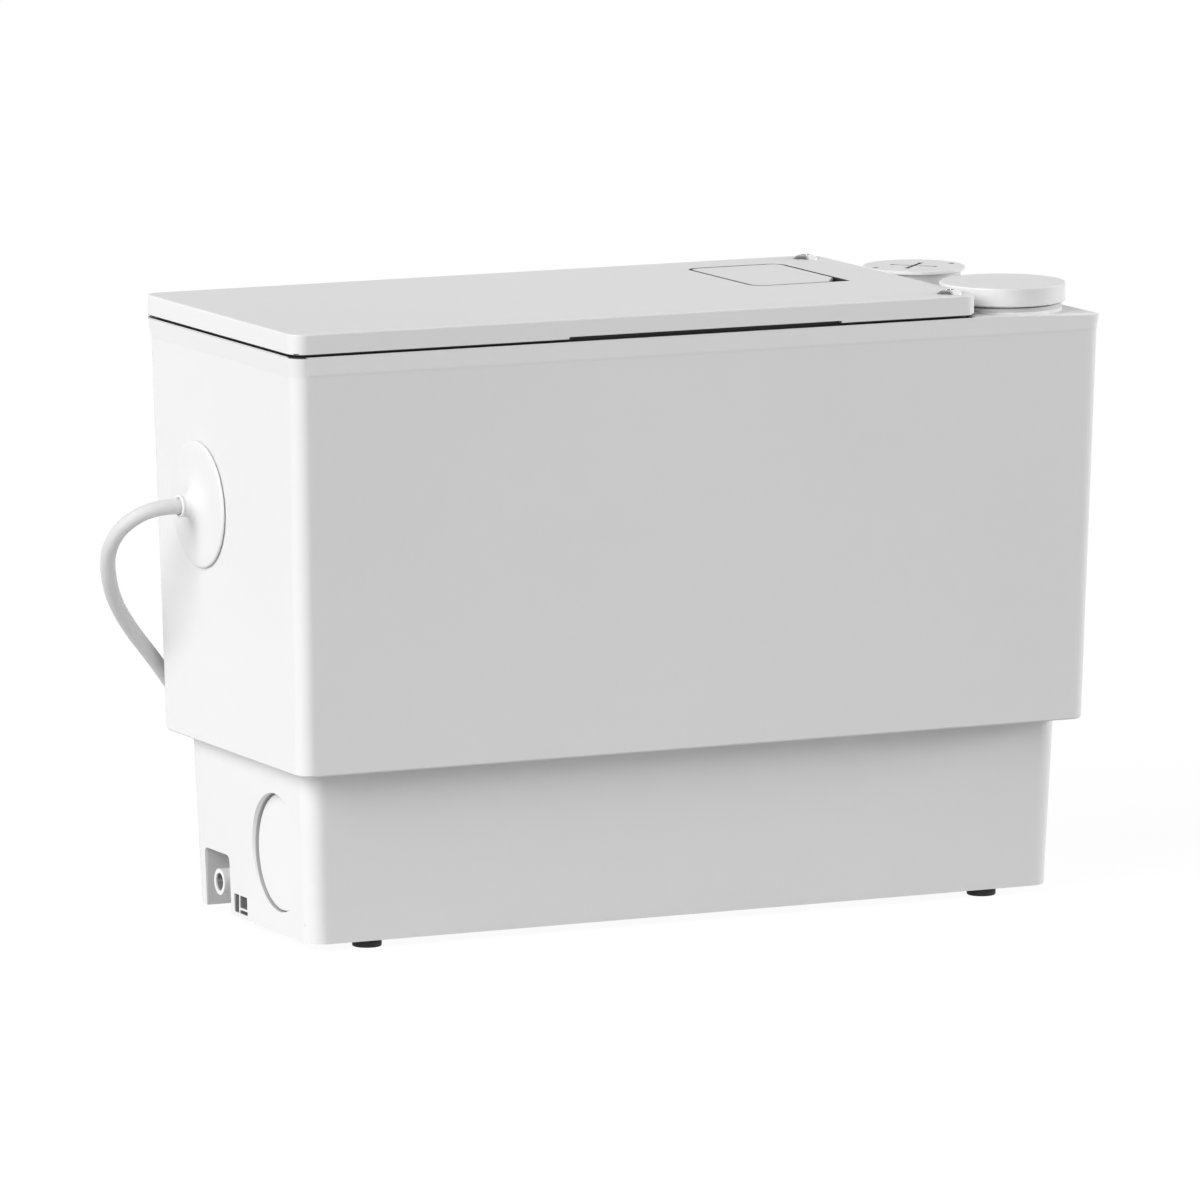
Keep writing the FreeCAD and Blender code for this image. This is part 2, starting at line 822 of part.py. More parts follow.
def hook_spaces():
    # Notches in the ledge for the lid's two hooks, and the pockets in the wall that hold their toes.
    spaces = []
    wall_face = -casing_half_length(deck_base) + casing_wall
    for side in (-1, 1):
        y0 = side * hook_y - hook_width / 2 - hook_play
        y1 = side * hook_y + hook_width / 2 + hook_play
        spaces.append(block(opening_left_x - hook_notch, opening_left_x + 1, y0, y1,
                            deck_base - 1, rim_height + 1))
        top = hook_toe_base + hook_toe_height + hook_headroom
        spaces.append(block(wall_face - hook_toe_reach - hook_play, wall_face + 2, y0, y1,
                            hook_toe_base - hook_play, top))
    return spaces


def over_deck_fall(height):
    # Everything above the sloping right end of a surface that lies at this height.
    start = rim_length / 2 - deck_fall_length
    reach = deck_fall_length + 2
    low = height - deck_fall * reach / deck_fall_length
    side = Part.makePolygon([
        Vector(start, -rim_width, height), Vector(start + reach, -rim_width, low),
        Vector(start + reach, -rim_width, height + 1), Vector(start, -rim_width, height + 1),
        Vector(start, -rim_width, height),
    ])
    return Part.Face(side).extrude(BACK * 2 * rim_width)


def make_casing():
    pad = cylinder(discharge_ring_radius, deck_fall + 2,
                   Vector(socket_x, discharge_y, rim_height - deck_fall - 1))
    casing = casing_outer().cut(over_deck_fall(rim_height).cut(pad))
    cavity = loft([
        casing_outline(casing_base_height - 1, casing_wall), casing_outline(deck_base, casing_wall)])
    cavity = cavity.cut(over_deck_fall(deck_base))
    opening = rounded_block(opening_left_x, opening_right_x, -opening_half_width, opening_half_width,
                            deck_base - 1, rim_height + 1, corner_radius - 2)
    casing = casing.cut([cavity, opening])
    lugs = []
    for x, y in casing_screw_places():
        inner = cover_half_width + 1.2
        outer = casing_half_width(cover_flange_top) - casing_wall + 1
        y0, y1 = (inner, outer) if y > 0 else (-outer, -inner)
        lugs.append(block(x - casing_lug_length / 2, x + casing_lug_length / 2, y0, y1,
                          cover_flange_top, cover_flange_top + casing_lug_height))
    for side in (-1, 1):
        lugs.append(cylinder(lid_boss_radius, lid_boss_length,
                             Vector(lid_screw_x, side * lid_screw_y, deck_base - lid_boss_length)))
    casing = casing.fuse(lugs)
    cuts = hook_spaces()
    for radius, y in ((discharge_cup_radius, discharge_y), (inlet_neck_radius, top_inlet_y)):
        cuts.append(cylinder(radius + deck_hole_play, deck_thickness + deck_fall + 2,
                             Vector(socket_x, y, deck_base - deck_fall - 1)))
    cuts.append(cylinder(gland_neck_radius + deck_hole_play, 20, gland_seat - gland_axis * 10, gland_axis))
    reach = 10 * casing_wall
    start = Vector(casing_half_length(toilet_inlet_height) - reach / 2, 0, toilet_inlet_height)
    cuts.append(cylinder(toilet_socket_radius + deck_hole_play, reach, start, RIGHT))
    for x, y in casing_screw_places():
        cuts.append(cylinder(screw_radius, casing_screw_depth + 1, Vector(x, y, cover_flange_top - 1)))
    for side in (-1, 1):
        cuts.append(cylinder(lid_screw_radius + lid_boss_play, lid_boss_length + deck_thickness + 2,
                             Vector(lid_screw_x, side * lid_screw_y, deck_base - lid_boss_length - 1)))
    return casing.cut(cuts).removeSplitter()


def make_housing_screws():
    # Equal screws: up into the casing's lugs from below, and down through the pump carrier.
    length = housing_screw_length
    lower = [pan_screw(x, y, flange_base_height, length, up=False) for x, y in casing_screw_places()]
    upper = [pan_screw(x, y, carrier_top, length) for x, y in carrier_screw_places()]
    return lower + upper


# Lid
def hatch_prism(grow, z0, z1, cut_corner=True):
    x0, x1 = hatch_left_x - grow, hatch_right_x + grow
    y0, y1 = hatch_front_y - grow, hatch_rear_y + grow
    corners = [(x0, y0), (x1, y0), (x1, y1), (x0, y1)]
    if cut_corner:
        corners[1:2] = [(x1 - hatch_cut_x, y0), (x1, y0 + hatch_cut_y)]
    points = [Vector(x, y, z0) for x, y in corners]
    prism = Part.Face(Part.makePolygon(points + points[:1])).extrude(UP * (z1 - z0))
    round_radius = hatch_corner_radius + grow
    sharp = [edge for edge in prism.Edges
             if abs(edge.Vertexes[0].Z - edge.Vertexes[-1].Z) > 0.1 and not is_finger_corner(edge, grow)]
    return prism.makeFillet(round_radius, sharp)


def is_finger_corner(edge, grow):
    # The two blunt corners beside the finger recess, or the square corner of the lid around it.
    place = edge.Vertexes[0].Point
    past_x = hatch_right_x + grow - hatch_cut_x - 1
    before_y = hatch_front_y - grow + hatch_cut_y + 1
    return place.x > past_x and place.y < before_y


def lid_ring(offset, width, z0, z1):
    outer = rounded_block(-rim_length / 2 + offset, lid_right_x - offset, -rim_width / 2 + offset,
                          rim_width / 2 - offset, z0, z1, corner_radius - offset)
    inner_offset = offset + width
    inner_radius = max(corner_radius - inner_offset, 1.5)
    inner = rounded_block(-rim_length / 2 + inner_offset, lid_right_x - inner_offset,
                          -rim_width / 2 + inner_offset, rim_width / 2 - inner_offset, z0, z1, inner_radius)
    return outer.cut(inner)


def lid_lip(z0, z1):
    x0, x1 = opening_left_x + lid_lip_play, opening_right_x - lid_lip_play
    half = opening_half_width - lid_lip_play
    radius = corner_radius - 2
    step = lid_lip_thickness
    outer = rounded_block(x0, x1, -half, half, z0, z1, radius)
    inner = rounded_block(x0 + step, x1 - step, -half + step, half - step, z0, z1, radius - step)
    return outer.cut(inner)


def tray_block(grow, z0, z1):
    return block(hatch_left_x + tray_inset - grow, hatch_right_x - tray_inset + grow,
                 hatch_front_y + tray_inset - grow, hatch_rear_y - tray_inset + grow, z0, z1)


def lid_hooks():
    hooks = []
    wall_face = -casing_half_length(deck_base) + casing_wall
    for side in (-1, 1):
        y0 = side * hook_y - hook_width / 2
        y1 = side * hook_y + hook_width / 2
        hooks.append(block(hook_left_x, hook_left_x + hook_leg, y0, y1, hook_toe_base, lid_roof))
        hooks.append(block(wall_face - hook_toe_reach, hook_left_x + hook_leg, y0, y1,
                           hook_toe_base, hook_toe_base + hook_toe_height))
    return hooks


def make_lid():
    plate = rounded_block(-rim_length / 2, lid_right_x, -rim_width / 2, rim_width / 2,
                          lid_base, lid_top_height, corner_radius)
    plate = plate.makeFillet(lid_edge_round, edges_at_height(plate, lid_top_height))
    hollow = rounded_block(-rim_length / 2 + lid_wall, lid_right_x - lid_wall, -rim_width / 2 + lid_wall,
                           rim_width / 2 - lid_wall, lid_base - 1, lid_roof, corner_radius - lid_wall)
    lid = plate.cut(hollow)
    additions = [
        lid_ring(lid_seat_offset, lid_seat_width, rim_height, lid_roof),
        lid_lip(lid_lip_base, lid_roof),
        tray_block(tray_wall, tray_base_height, lid_roof),
        tray_block(tray_inset + hatch_gap + tray_wall, lid_roof - tray_ledge_thickness, lid_roof),
    ]
    rib_span = opening_half_width - lid_lip_play - 1
    rib_room = hatch_left_x - tray_inset - tray_wall - opening_left_x
    for index in range(lid_rib_count):
        x = opening_left_x + rib_room * (index + 1) / (lid_rib_count + 1)
        additions.append(block(x - lid_rib_thickness / 2, x + lid_rib_thickness / 2, -rib_span, rib_span,
                               lid_roof - lid_rib_depth, lid_roof))
    for side in (-1, 1):
        additions.append(cylinder(lid_screw_recess_radius + 1, lid_roof - rim_height,
                                  Vector(lid_screw_x, side * lid_screw_y, rim_height)))
    lid = lid.fuse(additions + lid_hooks())
    cuts = [
        hatch_prism(hatch_gap, lid_roof, lid_top_height + 1, cut_corner=False),
        tray_block(0, tray_base_height + tray_floor_thickness, lid_roof + 1),
        block(-finger_slot_length / 2, finger_slot_length / 2,
              -rim_width / 2 - 1, -rim_width / 2 + lid_wall, lid_base - 1, lid_base + finger_slot_rise),
        cylinder(vent_outer_radius - vent_wall, tray_floor_thickness + 2,
                 Vector(vent_x, vent_y, tray_base_height - 1)),
    ]
    for side in (-1, 1):
        place = Vector(lid_screw_x, side * lid_screw_y, lid_top_height - lid_screw_recess_depth)
        cuts.append(Part.makeCone(lid_screw_head_radius + 0.4, lid_screw_recess_radius,
                                  lid_screw_recess_depth, place))
        cuts.append(cylinder(lid_screw_radius + screw_play, lid_top_height - rim_height + 2,
                             Vector(lid_screw_x, side * lid_screw_y, rim_height - 1)))
    return lid.cut(cuts).removeSplitter()


def make_lid_screw(side):
    seat = lid_top_height - lid_screw_recess_depth
    x, y = lid_screw_x, side * lid_screw_y
    rim = lid_top_height - 0.8
    top = lid_top_height + lid_screw_dome
    rise = top - rim
    sphere_radius = (lid_screw_head_radius ** 2 + rise ** 2) / (2 * rise)
    head = cylinder(lid_screw_head_radius, top - seat, Vector(x, y, seat))
    dome = Part.makeSphere(sphere_radius, Vector(x, y, top - sphere_radius))
    head = head.common(dome)
    tip = 1.5
    shank = turned([(0, -lid_screw_length), (lid_screw_radius - tip * 0.6, -lid_screw_length),
                    (lid_screw_radius, -lid_screw_length + tip), (lid_screw_radius, 0), (0, 0)],
                   Vector(x, y, seat))
    slot = block(x - lid_screw_head_radius, x + lid_screw_head_radius, y - 0.6, y + 0.6, top - 1.0, top + 1)
    return head.fuse(shank).cut(slot).removeSplitter()


def make_filter_hatch():
    plate = hatch_prism(0, lid_roof, lid_top_height)
    return plate.makeFillet(hatch_edge_round, edges_at_height(plate, lid_top_height))


def make_filter_cartridge():
    base = tray_base_height + tray_floor_thickness
    cartridge = block(hatch_left_x + tray_inset + filter_play, hatch_right_x - tray_inset - filter_play,
                      hatch_front_y + tray_inset + filter_play, hatch_rear_y - tray_inset - filter_play,
                      base, base + filter_height)
    box = cartridge.BoundBox
    slots = []
    pitch = (box.YMax - box.YMin) / (filter_slot_count + 1)
    for index in range(filter_slot_count):
        y = box.YMin + pitch * (index + 1)
        slots.append(block(box.XMin + 5, box.XMax - 5, y - filter_slot_width / 2, y + filter_slot_width / 2,
                           box.ZMax - 3, box.ZMax + 1))
    return cartridge.cut(slots)


def make_vent_seal():
    outer = vent_outer_radius + vent_seal_wall
    foot = vent_height - vent_seal_grip
    profile = [
        (vent_outer_radius + 0.1, foot), (outer, foot), (outer, tray_base_height),
        (vent_outer_radius - vent_wall, tray_base_height), (vent_outer_radius - vent_wall, vent_height),
        (vent_outer_radius + 0.1, vent_height),
    ]
    return turned(profile, Vector(vent_x, vent_y, 0))


# Sockets and caps on the deck
discharge_cup_radius = pipe_40_radius + discharge_cup_wall
hose_bore_radius = hose_outer_radius - hose_wall
spigot_radius = hose_bore_radius - 0.05
spigot_bore = spigot_radius - spigot_wall
plug_stem_radius = pipe_40_radius - 0.08


def make_discharge_socket():
    # Cup for the discharge pipe, standing in the deck, with a spigot for the hose under its floor.
    profile = [
        (spigot_bore, discharge_cup_floor - spigot_length),
        (spigot_radius, discharge_cup_floor - spigot_length),
        (spigot_radius, discharge_cup_floor), (discharge_cup_radius, discharge_cup_floor),
        (discharge_cup_radius, rim_height), (discharge_ring_radius, rim_height),
        (discharge_ring_radius, rim_height + discharge_ring_height * 0.5),
        (discharge_ring_radius - 0.5, rim_height + discharge_ring_height),
        (discharge_cup_radius, rim_height + discharge_ring_height),
        (discharge_cup_radius, discharge_cap_top - discharge_cap_roof),
        (pipe_40_radius, discharge_cap_top - discharge_cap_roof),
        (pipe_40_radius, discharge_cup_floor + discharge_cup_wall),
        (spigot_bore, discharge_cup_floor + discharge_cup_wall),
    ]
    return turned(profile, Vector(socket_x, discharge_y, 0))


def make_discharge_cap():
    edge = 0.7
    inner = discharge_cap_radius - discharge_cap_wall
    roof = discharge_cap_top - discharge_cap_roof
    stem_base = discharge_cup_floor + discharge_cup_wall + 3
    profile = [
        (0, discharge_cap_top), (discharge_cap_radius - edge, discharge_cap_top),
        (discharge_cap_radius - edge * 0.3, discharge_cap_top - edge * 0.3),
        (discharge_cap_radius, discharge_cap_top - edge), (discharge_cap_radius, discharge_cap_base + edge),
        (discharge_cap_radius - edge, discharge_cap_base), (inner, discharge_cap_base), (inner, roof),
        (plug_stem_radius, roof), (plug_stem_radius, stem_base), (plug_stem_radius - 2, stem_base),
        (plug_stem_radius - 2, roof), (0, roof),
    ]
    return turned(profile, Vector(socket_x, discharge_y, 0))


def make_top_inlet_socket():
    return tube(inlet_neck_radius, pipe_40_radius, inlet_rim - chamber_height,
                Vector(socket_x, top_inlet_y, chamber_height))


def groove_height(base):
    return base + seal_groove_width * 1.6


def make_top_inlet_plug():
    edge = 0.5
    base = inlet_rim - inlet_plug_depth
    groove = groove_height(base)
    floor_radius = plug_stem_radius - seal_groove_depth
    profile = [
        (0, inlet_plug_top), (inlet_plug_radius - edge, inlet_plug_top),
        (inlet_plug_radius, inlet_plug_top - edge), (inlet_plug_radius, inlet_rim + edge * 0.6),
        (inlet_plug_radius - edge * 0.6, inlet_rim),
        (plug_stem_radius, inlet_rim), (plug_stem_radius, groove + seal_groove_width),
        (floor_radius, groove + seal_groove_width), (floor_radius, groove), (plug_stem_radius, groove),
        (plug_stem_radius, base), (floor_radius - plug_wall, base),
        (floor_radius - plug_wall, inlet_rim - plug_wall), (0, inlet_rim - plug_wall),
    ]
    plug = turned(profile, Vector(socket_x, top_inlet_y, 0))
    cuts = []
    for quarter in (45, 135):
        half = cross_slot_length / 2
        tall = cross_slot_depth + 1
        arm = block(-half, half, -cross_slot_width / 2, cross_slot_width / 2, 0, tall)
        ends = [cylinder(cross_slot_width * 0.8, tall, Vector(side * half, 0, 0)) for side in (-1, 1)]
        arm = arm.fuse(ends)
        arm.Placement = FreeCAD.Placement(
            Vector(socket_x, top_inlet_y, inlet_plug_top - cross_slot_depth), FreeCAD.Rotation(UP, quarter))
        cuts.append(arm)
    for side in (-1, 1):
        place = Vector(socket_x + side * dimple_reach, top_inlet_y, inlet_plug_top - dimple_depth)
        cuts.append(cylinder(dimple_radius, 2, place))
    return plug.cut(cuts)


def seal_ring(bore, groove_floor):
    # Ring that fills a plug's groove and touches the bore, round on its outer side.
    outer = bore - 0.04
    inner = groove_floor + 0.04
    width = seal_groove_width - 0.2
    return [
        (inner, -width / 2), (outer - width * 0.15, -width / 2), (outer, -width * 0.3),
        (outer, width * 0.3), (outer - width * 0.15, width / 2), (inner, width / 2),
    ]


def make_top_inlet_seal():
    height = groove_height(inlet_rim - inlet_plug_depth) + seal_groove_width / 2
    profile = seal_ring(pipe_40_radius, plug_stem_radius - seal_groove_depth)
    return turned(profile, Vector(socket_x, top_inlet_y, height))


# Right side inlet plug, seal and flap; the left ones are their mirror images
side_plug_radius = side_socket_radius - plug_play
side_plug_face_x = side_face_x - plug_inset
side_groove_floor = side_plug_radius - seal_groove_depth


def make_side_plug():
    edge = 0.4
    length = plug_length
    groove = groove_height(0)
    profile = [
        (0, length), (side_plug_radius - edge, length), (side_plug_radius, length - edge),
        (side_plug_radius, groove + seal_groove_width), (side_groove_floor, groove + seal_groove_width),
        (side_groove_floor, groove), (side_plug_radius, groove), (side_plug_radius, 0),
        (side_groove_floor - plug_wall, 0), (side_groove_floor - plug_wall, length - plug_face_thickness),
        (0, length - plug_face_thickness),
    ]
    base = Vector(side_plug_face_x - length, side_inlet_y, side_inlet_height)
    return turned(profile, base, RIGHT)


def make_side_seal():
    place = side_plug_face_x - plug_length + groove_height(0) + seal_groove_width / 2
    profile = seal_ring(side_socket_radius, side_groove_floor)
    return turned(profile, Vector(place, side_inlet_y, side_inlet_height), RIGHT)


def make_side_flap():
    disc_radius = side_bore_radius + flap_overlap
    disc = cylinder(disc_radius, flap_thickness,
                    Vector(socket_back_x, side_inlet_y, side_inlet_height), -RIGHT)
    arm_half = ear_offset - 0.4
    arm = block(socket_back_x - flap_thickness, socket_back_x,
                side_inlet_y - arm_half, side_inlet_y + arm_half,
                side_inlet_height + disc_radius * 0.6, flap_axis_height)
    pin_half = ear_offset + ear_width
    pin = cylinder(flap_pin_radius, 2 * pin_half,
                   Vector(flap_axis_x, side_inlet_y - pin_half, flap_axis_height), BACK)
    return fused([disc, arm, pin])


def make_toilet_sleeve():
    inner = toilet_pipe_radius
    start = cover_half_length - cover_wall
    end = casing_half_length(toilet_inlet_height) + toilet_flange_proud
    barrel = tube(toilet_sleeve_radius, inner, end - start, Vector(start, 0, toilet_inlet_height), RIGHT)
    collar = tube(toilet_sleeve_radius + toilet_flange_width, inner, toilet_flange_proud * 2,
                  Vector(end - toilet_flange_proud * 2, 0, toilet_inlet_height), RIGHT)
    collar = collar.cut(casing_outer())
    sleeve = fused([barrel, collar])
    rims = [edge for edge in sleeve.Edges
            if len(edge.Vertexes) == 1 and abs(edge.Vertexes[0].X - end) < 0.01]
    return sleeve.makeFillet(1.2, rims)


# Pump set, standing on the pump bay
hub_flange_thickness = 4.0
carrier_hub_base = pump_bay_height - carrier_hub_depth
volute_top = carrier_hub_base - hub_flange_thickness
volute_base_height = volute_top - volute_height
shaft_base_height = volute_base_height - shaft_tip_reach
impeller_base = volute_base_height + volute_wall + impeller_play
outlet_height = impeller_base + impeller_vane_height * 0.8
motor_base = carrier_top
motor_top = motor_base + motor_height
shaft_top = motor_top + end_cover_height - motor_wall - 1
bearing_seat_depth = bearing_height
seal_seat_height = carrier_hub_base + 2 * seal_height


def make_pump_carrier():
    play = 0.02
    hub = carrier_hub_radius
    clear = shaft_radius + 1
    profile = [
        (carrier_radius, carrier_base), (carrier_radius, carrier_top), (bearing_radius + play, carrier_top),
        (bearing_radius + play, carrier_top - bearing_seat_depth),
        (clear, carrier_top - bearing_seat_depth),
        (clear, seal_seat_height), (seal_outer_radius + play, seal_seat_height),
        (seal_outer_radius + play, volute_top), (volute_outer_radius, volute_top),
        (volute_outer_radius, carrier_hub_base), (hub, carrier_hub_base), (hub, carrier_base),
    ]
    carrier = turned(profile, Vector(motor_x, 0, 0))
    holes = [cylinder(screw_radius + screw_play, carrier_thickness + 2, Vector(x, y, carrier_base - 1))
             for x, y in carrier_screw_places()]
    return carrier.cut(holes)


def make_motor_housing():
    housing = tube(motor_radius, motor_radius - motor_wall, motor_height, Vector(motor_x, 0, motor_base))
    fins = []
    for index in range(motor_fin_count):
        fin = block(motor_radius - 1, motor_radius + motor_fin_height, -motor_fin_thickness / 2,
                    motor_fin_thickness / 2, motor_base + 8, motor_top - 6)
        fin.rotate(Vector(0, 0, 0), UP, 360 / motor_fin_count * index)
        fin.translate(Vector(motor_x, 0, 0))
        fins.append(fin)
    return fused([housing] + fins)


def make_end_cover():
    roof = motor_top + end_cover_height
    seat_base = roof - motor_wall - bearing_height
    play = 0.02
    edge = 3.0
    profile = [
        (motor_radius - motor_wall, motor_top), (motor_radius, motor_top), (motor_radius, roof - edge),
        (motor_radius - edge * 0.3, roof - edge * 0.3), (motor_radius - edge, roof), (0, roof),
        (0, roof - motor_wall), (bearing_radius + play, roof - motor_wall),
        (bearing_radius + play, seat_base),
        (bearing_radius + 3, seat_base), (bearing_radius + 3, roof - motor_wall),
        (motor_radius - motor_wall, roof - motor_wall),
    ]
    return turned(profile, Vector(motor_x, 0, 0))


def make_bearing(base):
    inner = shaft_radius + running_play
    groove = (bearing_radius - inner) * 0.28
    middle = (bearing_radius + inner) / 2
    profile = [
        (inner, 0), (middle - groove, 0), (middle - groove, 1), (middle + groove, 1), (middle + groove, 0),
        (bearing_radius, 0), (bearing_radius, bearing_height), (middle + groove, bearing_height),
        (middle + groove, bearing_height - 1), (middle - groove, bearing_height - 1),
        (middle - groove, bearing_height), (inner, bearing_height),
    ]
    return turned(profile, Vector(motor_x, 0, base))


stator_middle = (motor_base + motor_top) / 2


def make_stator():
    outer = motor_radius - motor_wall - 0.05
    half = stator_height / 2
    inner = stator_inner_radius
    winding_inner = inner + 2.5
    winding_outer = winding_inner + winding_wall
    profile = [
        (inner, -half), (winding_inner, -half), (winding_inner, -half - winding_height),
        (winding_outer, -half - winding_height), (winding_outer, -half), (outer, -half), (outer, half),
        (winding_outer, half), (winding_outer, half + winding_height),
        (winding_inner, half + winding_height), (winding_inner, half), (inner, half),
    ]
    return turned(profile, Vector(motor_x, 0, stator_middle))


def make_rotor_core():
    height = stator_height + 4
    return tube(stator_inner_radius - rotor_gap, shaft_radius + running_play, height,
                Vector(motor_x, 0, stator_middle - height / 2))


def make_shaft():
    tip = 1.0
    profile = [
        (0, shaft_base_height), (shaft_radius - tip, shaft_base_height),
        (shaft_radius, shaft_base_height + tip),
        (shaft_radius, shaft_top - tip), (shaft_radius - tip, shaft_top), (0, shaft_top),
    ]
    return turned(profile, Vector(motor_x, 0, 0))


def make_seal_seat():
    return tube(seal_outer_radius, shaft_radius + 0.8, seal_height,
                Vector(motor_x, 0, seal_seat_height - seal_height))


def make_seal_ring():
    base = carrier_hub_base
    return tube(seal_outer_radius - 2, shaft_radius + running_play, seal_height - 0.3,
                Vector(motor_x, 0, base))


def make_volute():
    base = Vector(motor_x, 0, volute_base_height)
    outlet = Vector(motor_x, volute_outlet_y, outlet_height)
    body = cylinder(volute_outer_radius, volute_height, base).fuse(
        cylinder(outlet_outer_radius, outlet_length, outlet, RIGHT))
    cavity = cylinder(volute_outer_radius - volute_wall, volute_height, base + UP * volute_wall)
    bore = cylinder(outlet_bore_radius, outlet_length + 1, outlet, RIGHT)
    suction = cylinder(volute_suction_radius, volute_wall + 2, base - UP)
    return body.cut([cavity, bore, suction]).removeSplitter()


def make_impeller():
    hub_radius = shaft_radius + 4
    disc_base = impeller_base + impeller_vane_height
    hub = cylinder(hub_radius, impeller_vane_height + impeller_disc, Vector(motor_x, 0, impeller_base))
    disc = cylinder(impeller_radius, impeller_disc, Vector(motor_x, 0, disc_base))
    vanes = []
    for index in range(impeller_vane_count):
        vane = block(hub_radius - 1, impeller_radius - 1, 0, impeller_vane_thickness,
                     impeller_base, disc_base)
        vane.rotate(Vector(hub_radius, 0, 0), UP, -25)
        vane = vane.common(cylinder(impeller_radius, impeller_vane_height, Vector(0, 0, impeller_base)))
        vane.rotate(Vector(0, 0, 0), UP, 360 / impeller_vane_count * index)
        vane.translate(Vector(motor_x, 0, 0))
        vanes.append(vane)
    impeller = fused([hub, disc] + vanes)
    box = impeller.BoundBox
    bore_start = Vector(motor_x, 0, box.ZMin - 1)
    return impeller.cut(cylinder(shaft_radius + running_play, box.ZLength + 2, bore_start))


cutter_plate_base = volute_base_height - cutter_plate_thickness
knife_base = cutter_plate_base - cutter_play - cutter_knife_thickness


def make_cutter_plate():
    plate = tube(cutter_plate_radius, shaft_radius + 1.5, cutter_plate_thickness,
                 Vector(motor_x, 0, cutter_plate_base))
    slots = []
    for index in range(cutter_slot_count):
        slot = block(shaft_radius + 4, cutter_plate_radius - 6,
                     -cutter_slot_width / 2, cutter_slot_width / 2,
                     cutter_plate_base - 1, volute_base_height + 1)
        slot.rotate(Vector(0, 0, 0), UP, 360 / cutter_slot_count * index)
        slot.translate(Vector(motor_x, 0, 0))
        slots.append(slot)
    return plate.cut(slots)


def make_cutter_knife():
    base = Vector(motor_x, 0, knife_base)
    hub = cylinder(shaft_radius + 4, cutter_knife_thickness, base)
    arms = []
    for index in range(3):
        arm = block(0, cutter_knife_radius, -cutter_knife_width / 2, cutter_knife_width / 2,
                    knife_base, knife_base + cutter_knife_thickness)
        arm.rotate(Vector(0, 0, 0), UP, 120 * index)
        arm.translate(Vector(motor_x, 0, 0))
        arms.append(arm)
    bore = cylinder(shaft_radius + running_play, cutter_knife_thickness + 2, base - UP)
    return fused([hub] + arms).cut(bore)


def make_cutter_nut():
    points = []
    for index in range(6):
        angle = math.radians(60 * index)
        x = motor_x + cutter_nut_radius * math.cos(angle)
        y = cutter_nut_radius * math.sin(angle)
        points.append(Vector(x, y, knife_base - cutter_nut_height))
    prism = Part.Face(Part.makePolygon(points + points[:1])).extrude(UP * cutter_nut_height)
    return prism.cut(cylinder(shaft_radius + running_play, 60, Vector(motor_x, 0, knife_base - 40)))


# Discharge line from the volute to the deck
outlet_end_x = motor_x + outlet_length
valve_base_height = pump_bay_height + valve_gap
valve_top = hose_run_height - hose_bend_radius - hose_end_straight - spigot_length
valve_seat = valve_base_height + 2 * valve_wall
valve_flap_x = riser_x - valve_flap_radius - 1.2
valve_flap_axis = valve_seat + flap_thickness / 2
valve_ear_offset = 5.0
valve_ear_width = 2.6


def make_discharge_elbow():
    # Rubber bend whose wider end slips over the volute's outlet.
    start = Vector(outlet_end_x, volute_outlet_y, outlet_height)
    corner = Vector(riser_x, volute_outlet_y, outlet_height)
    top = Vector(riser_x, volute_outlet_y, valve_base_height)
    bend = bent_tube([start, corner, top], elbow_bend_radius, outlet_outer_radius, outlet_bore_radius)
    outer = outlet_outer_radius + coupling_wall
    socket = tube(outer, outlet_outer_radius + 0.02, coupling_length,
                  start - RIGHT * coupling_length, RIGHT)
    shoulder = tube(outer, outlet_bore_radius, coupling_wall, start, RIGHT)
    return fused([bend, socket, shoulder])


def make_riser_grommet():
    base = pump_bay_height - cover_wall
    profile = [
        (outlet_outer_radius + 0.05, base), (riser_hole_radius - 0.05, base),
        (riser_hole_radius - 0.05, pump_bay_height),
        (riser_hole_radius + 3, pump_bay_height), (riser_hole_radius + 3, pump_bay_height + 2.5),
        (outlet_outer_radius + 0.05, pump_bay_height + 2.5),
    ]
    return turned(profile, Vector(riser_x, volute_outlet_y, 0))


def make_valve_body():
    room = valve_radius - valve_wall
    profile = [
        (outlet_bore_radius, valve_base_height), (valve_radius, valve_base_height),
        (valve_radius, valve_top),
        (spigot_radius, valve_top), (spigot_radius, valve_top + spigot_length),
        (spigot_bore, valve_top + spigot_length), (spigot_bore, valve_top - 2 * valve_wall),
        (room, valve_top - 2 * valve_wall), (room, valve_seat),
        (outlet_bore_radius, valve_seat),
    ]
    body = turned(profile, Vector(riser_x, volute_outlet_y, 0))
    reach = flap_pin_radius + 1.1
    ears = []
    for side in (-1, 1):
        middle = volute_outlet_y + side * (valve_ear_offset + valve_ear_width / 2)
        ear = block(riser_x - room - 1, valve_flap_x + reach, middle - valve_ear_width / 2,
                    middle + valve_ear_width / 2, valve_seat - 1, valve_flap_axis + reach)
        ears.append(ear)
    pin_half = valve_ear_offset + valve_ear_width + 0.5
    pin_hole = cylinder(flap_pin_radius + flap_pin_play, 2 * pin_half,
                        Vector(valve_flap_x, volute_outlet_y - pin_half, valve_flap_axis), BACK)
    return fused([body] + ears).cut(pin_hole)


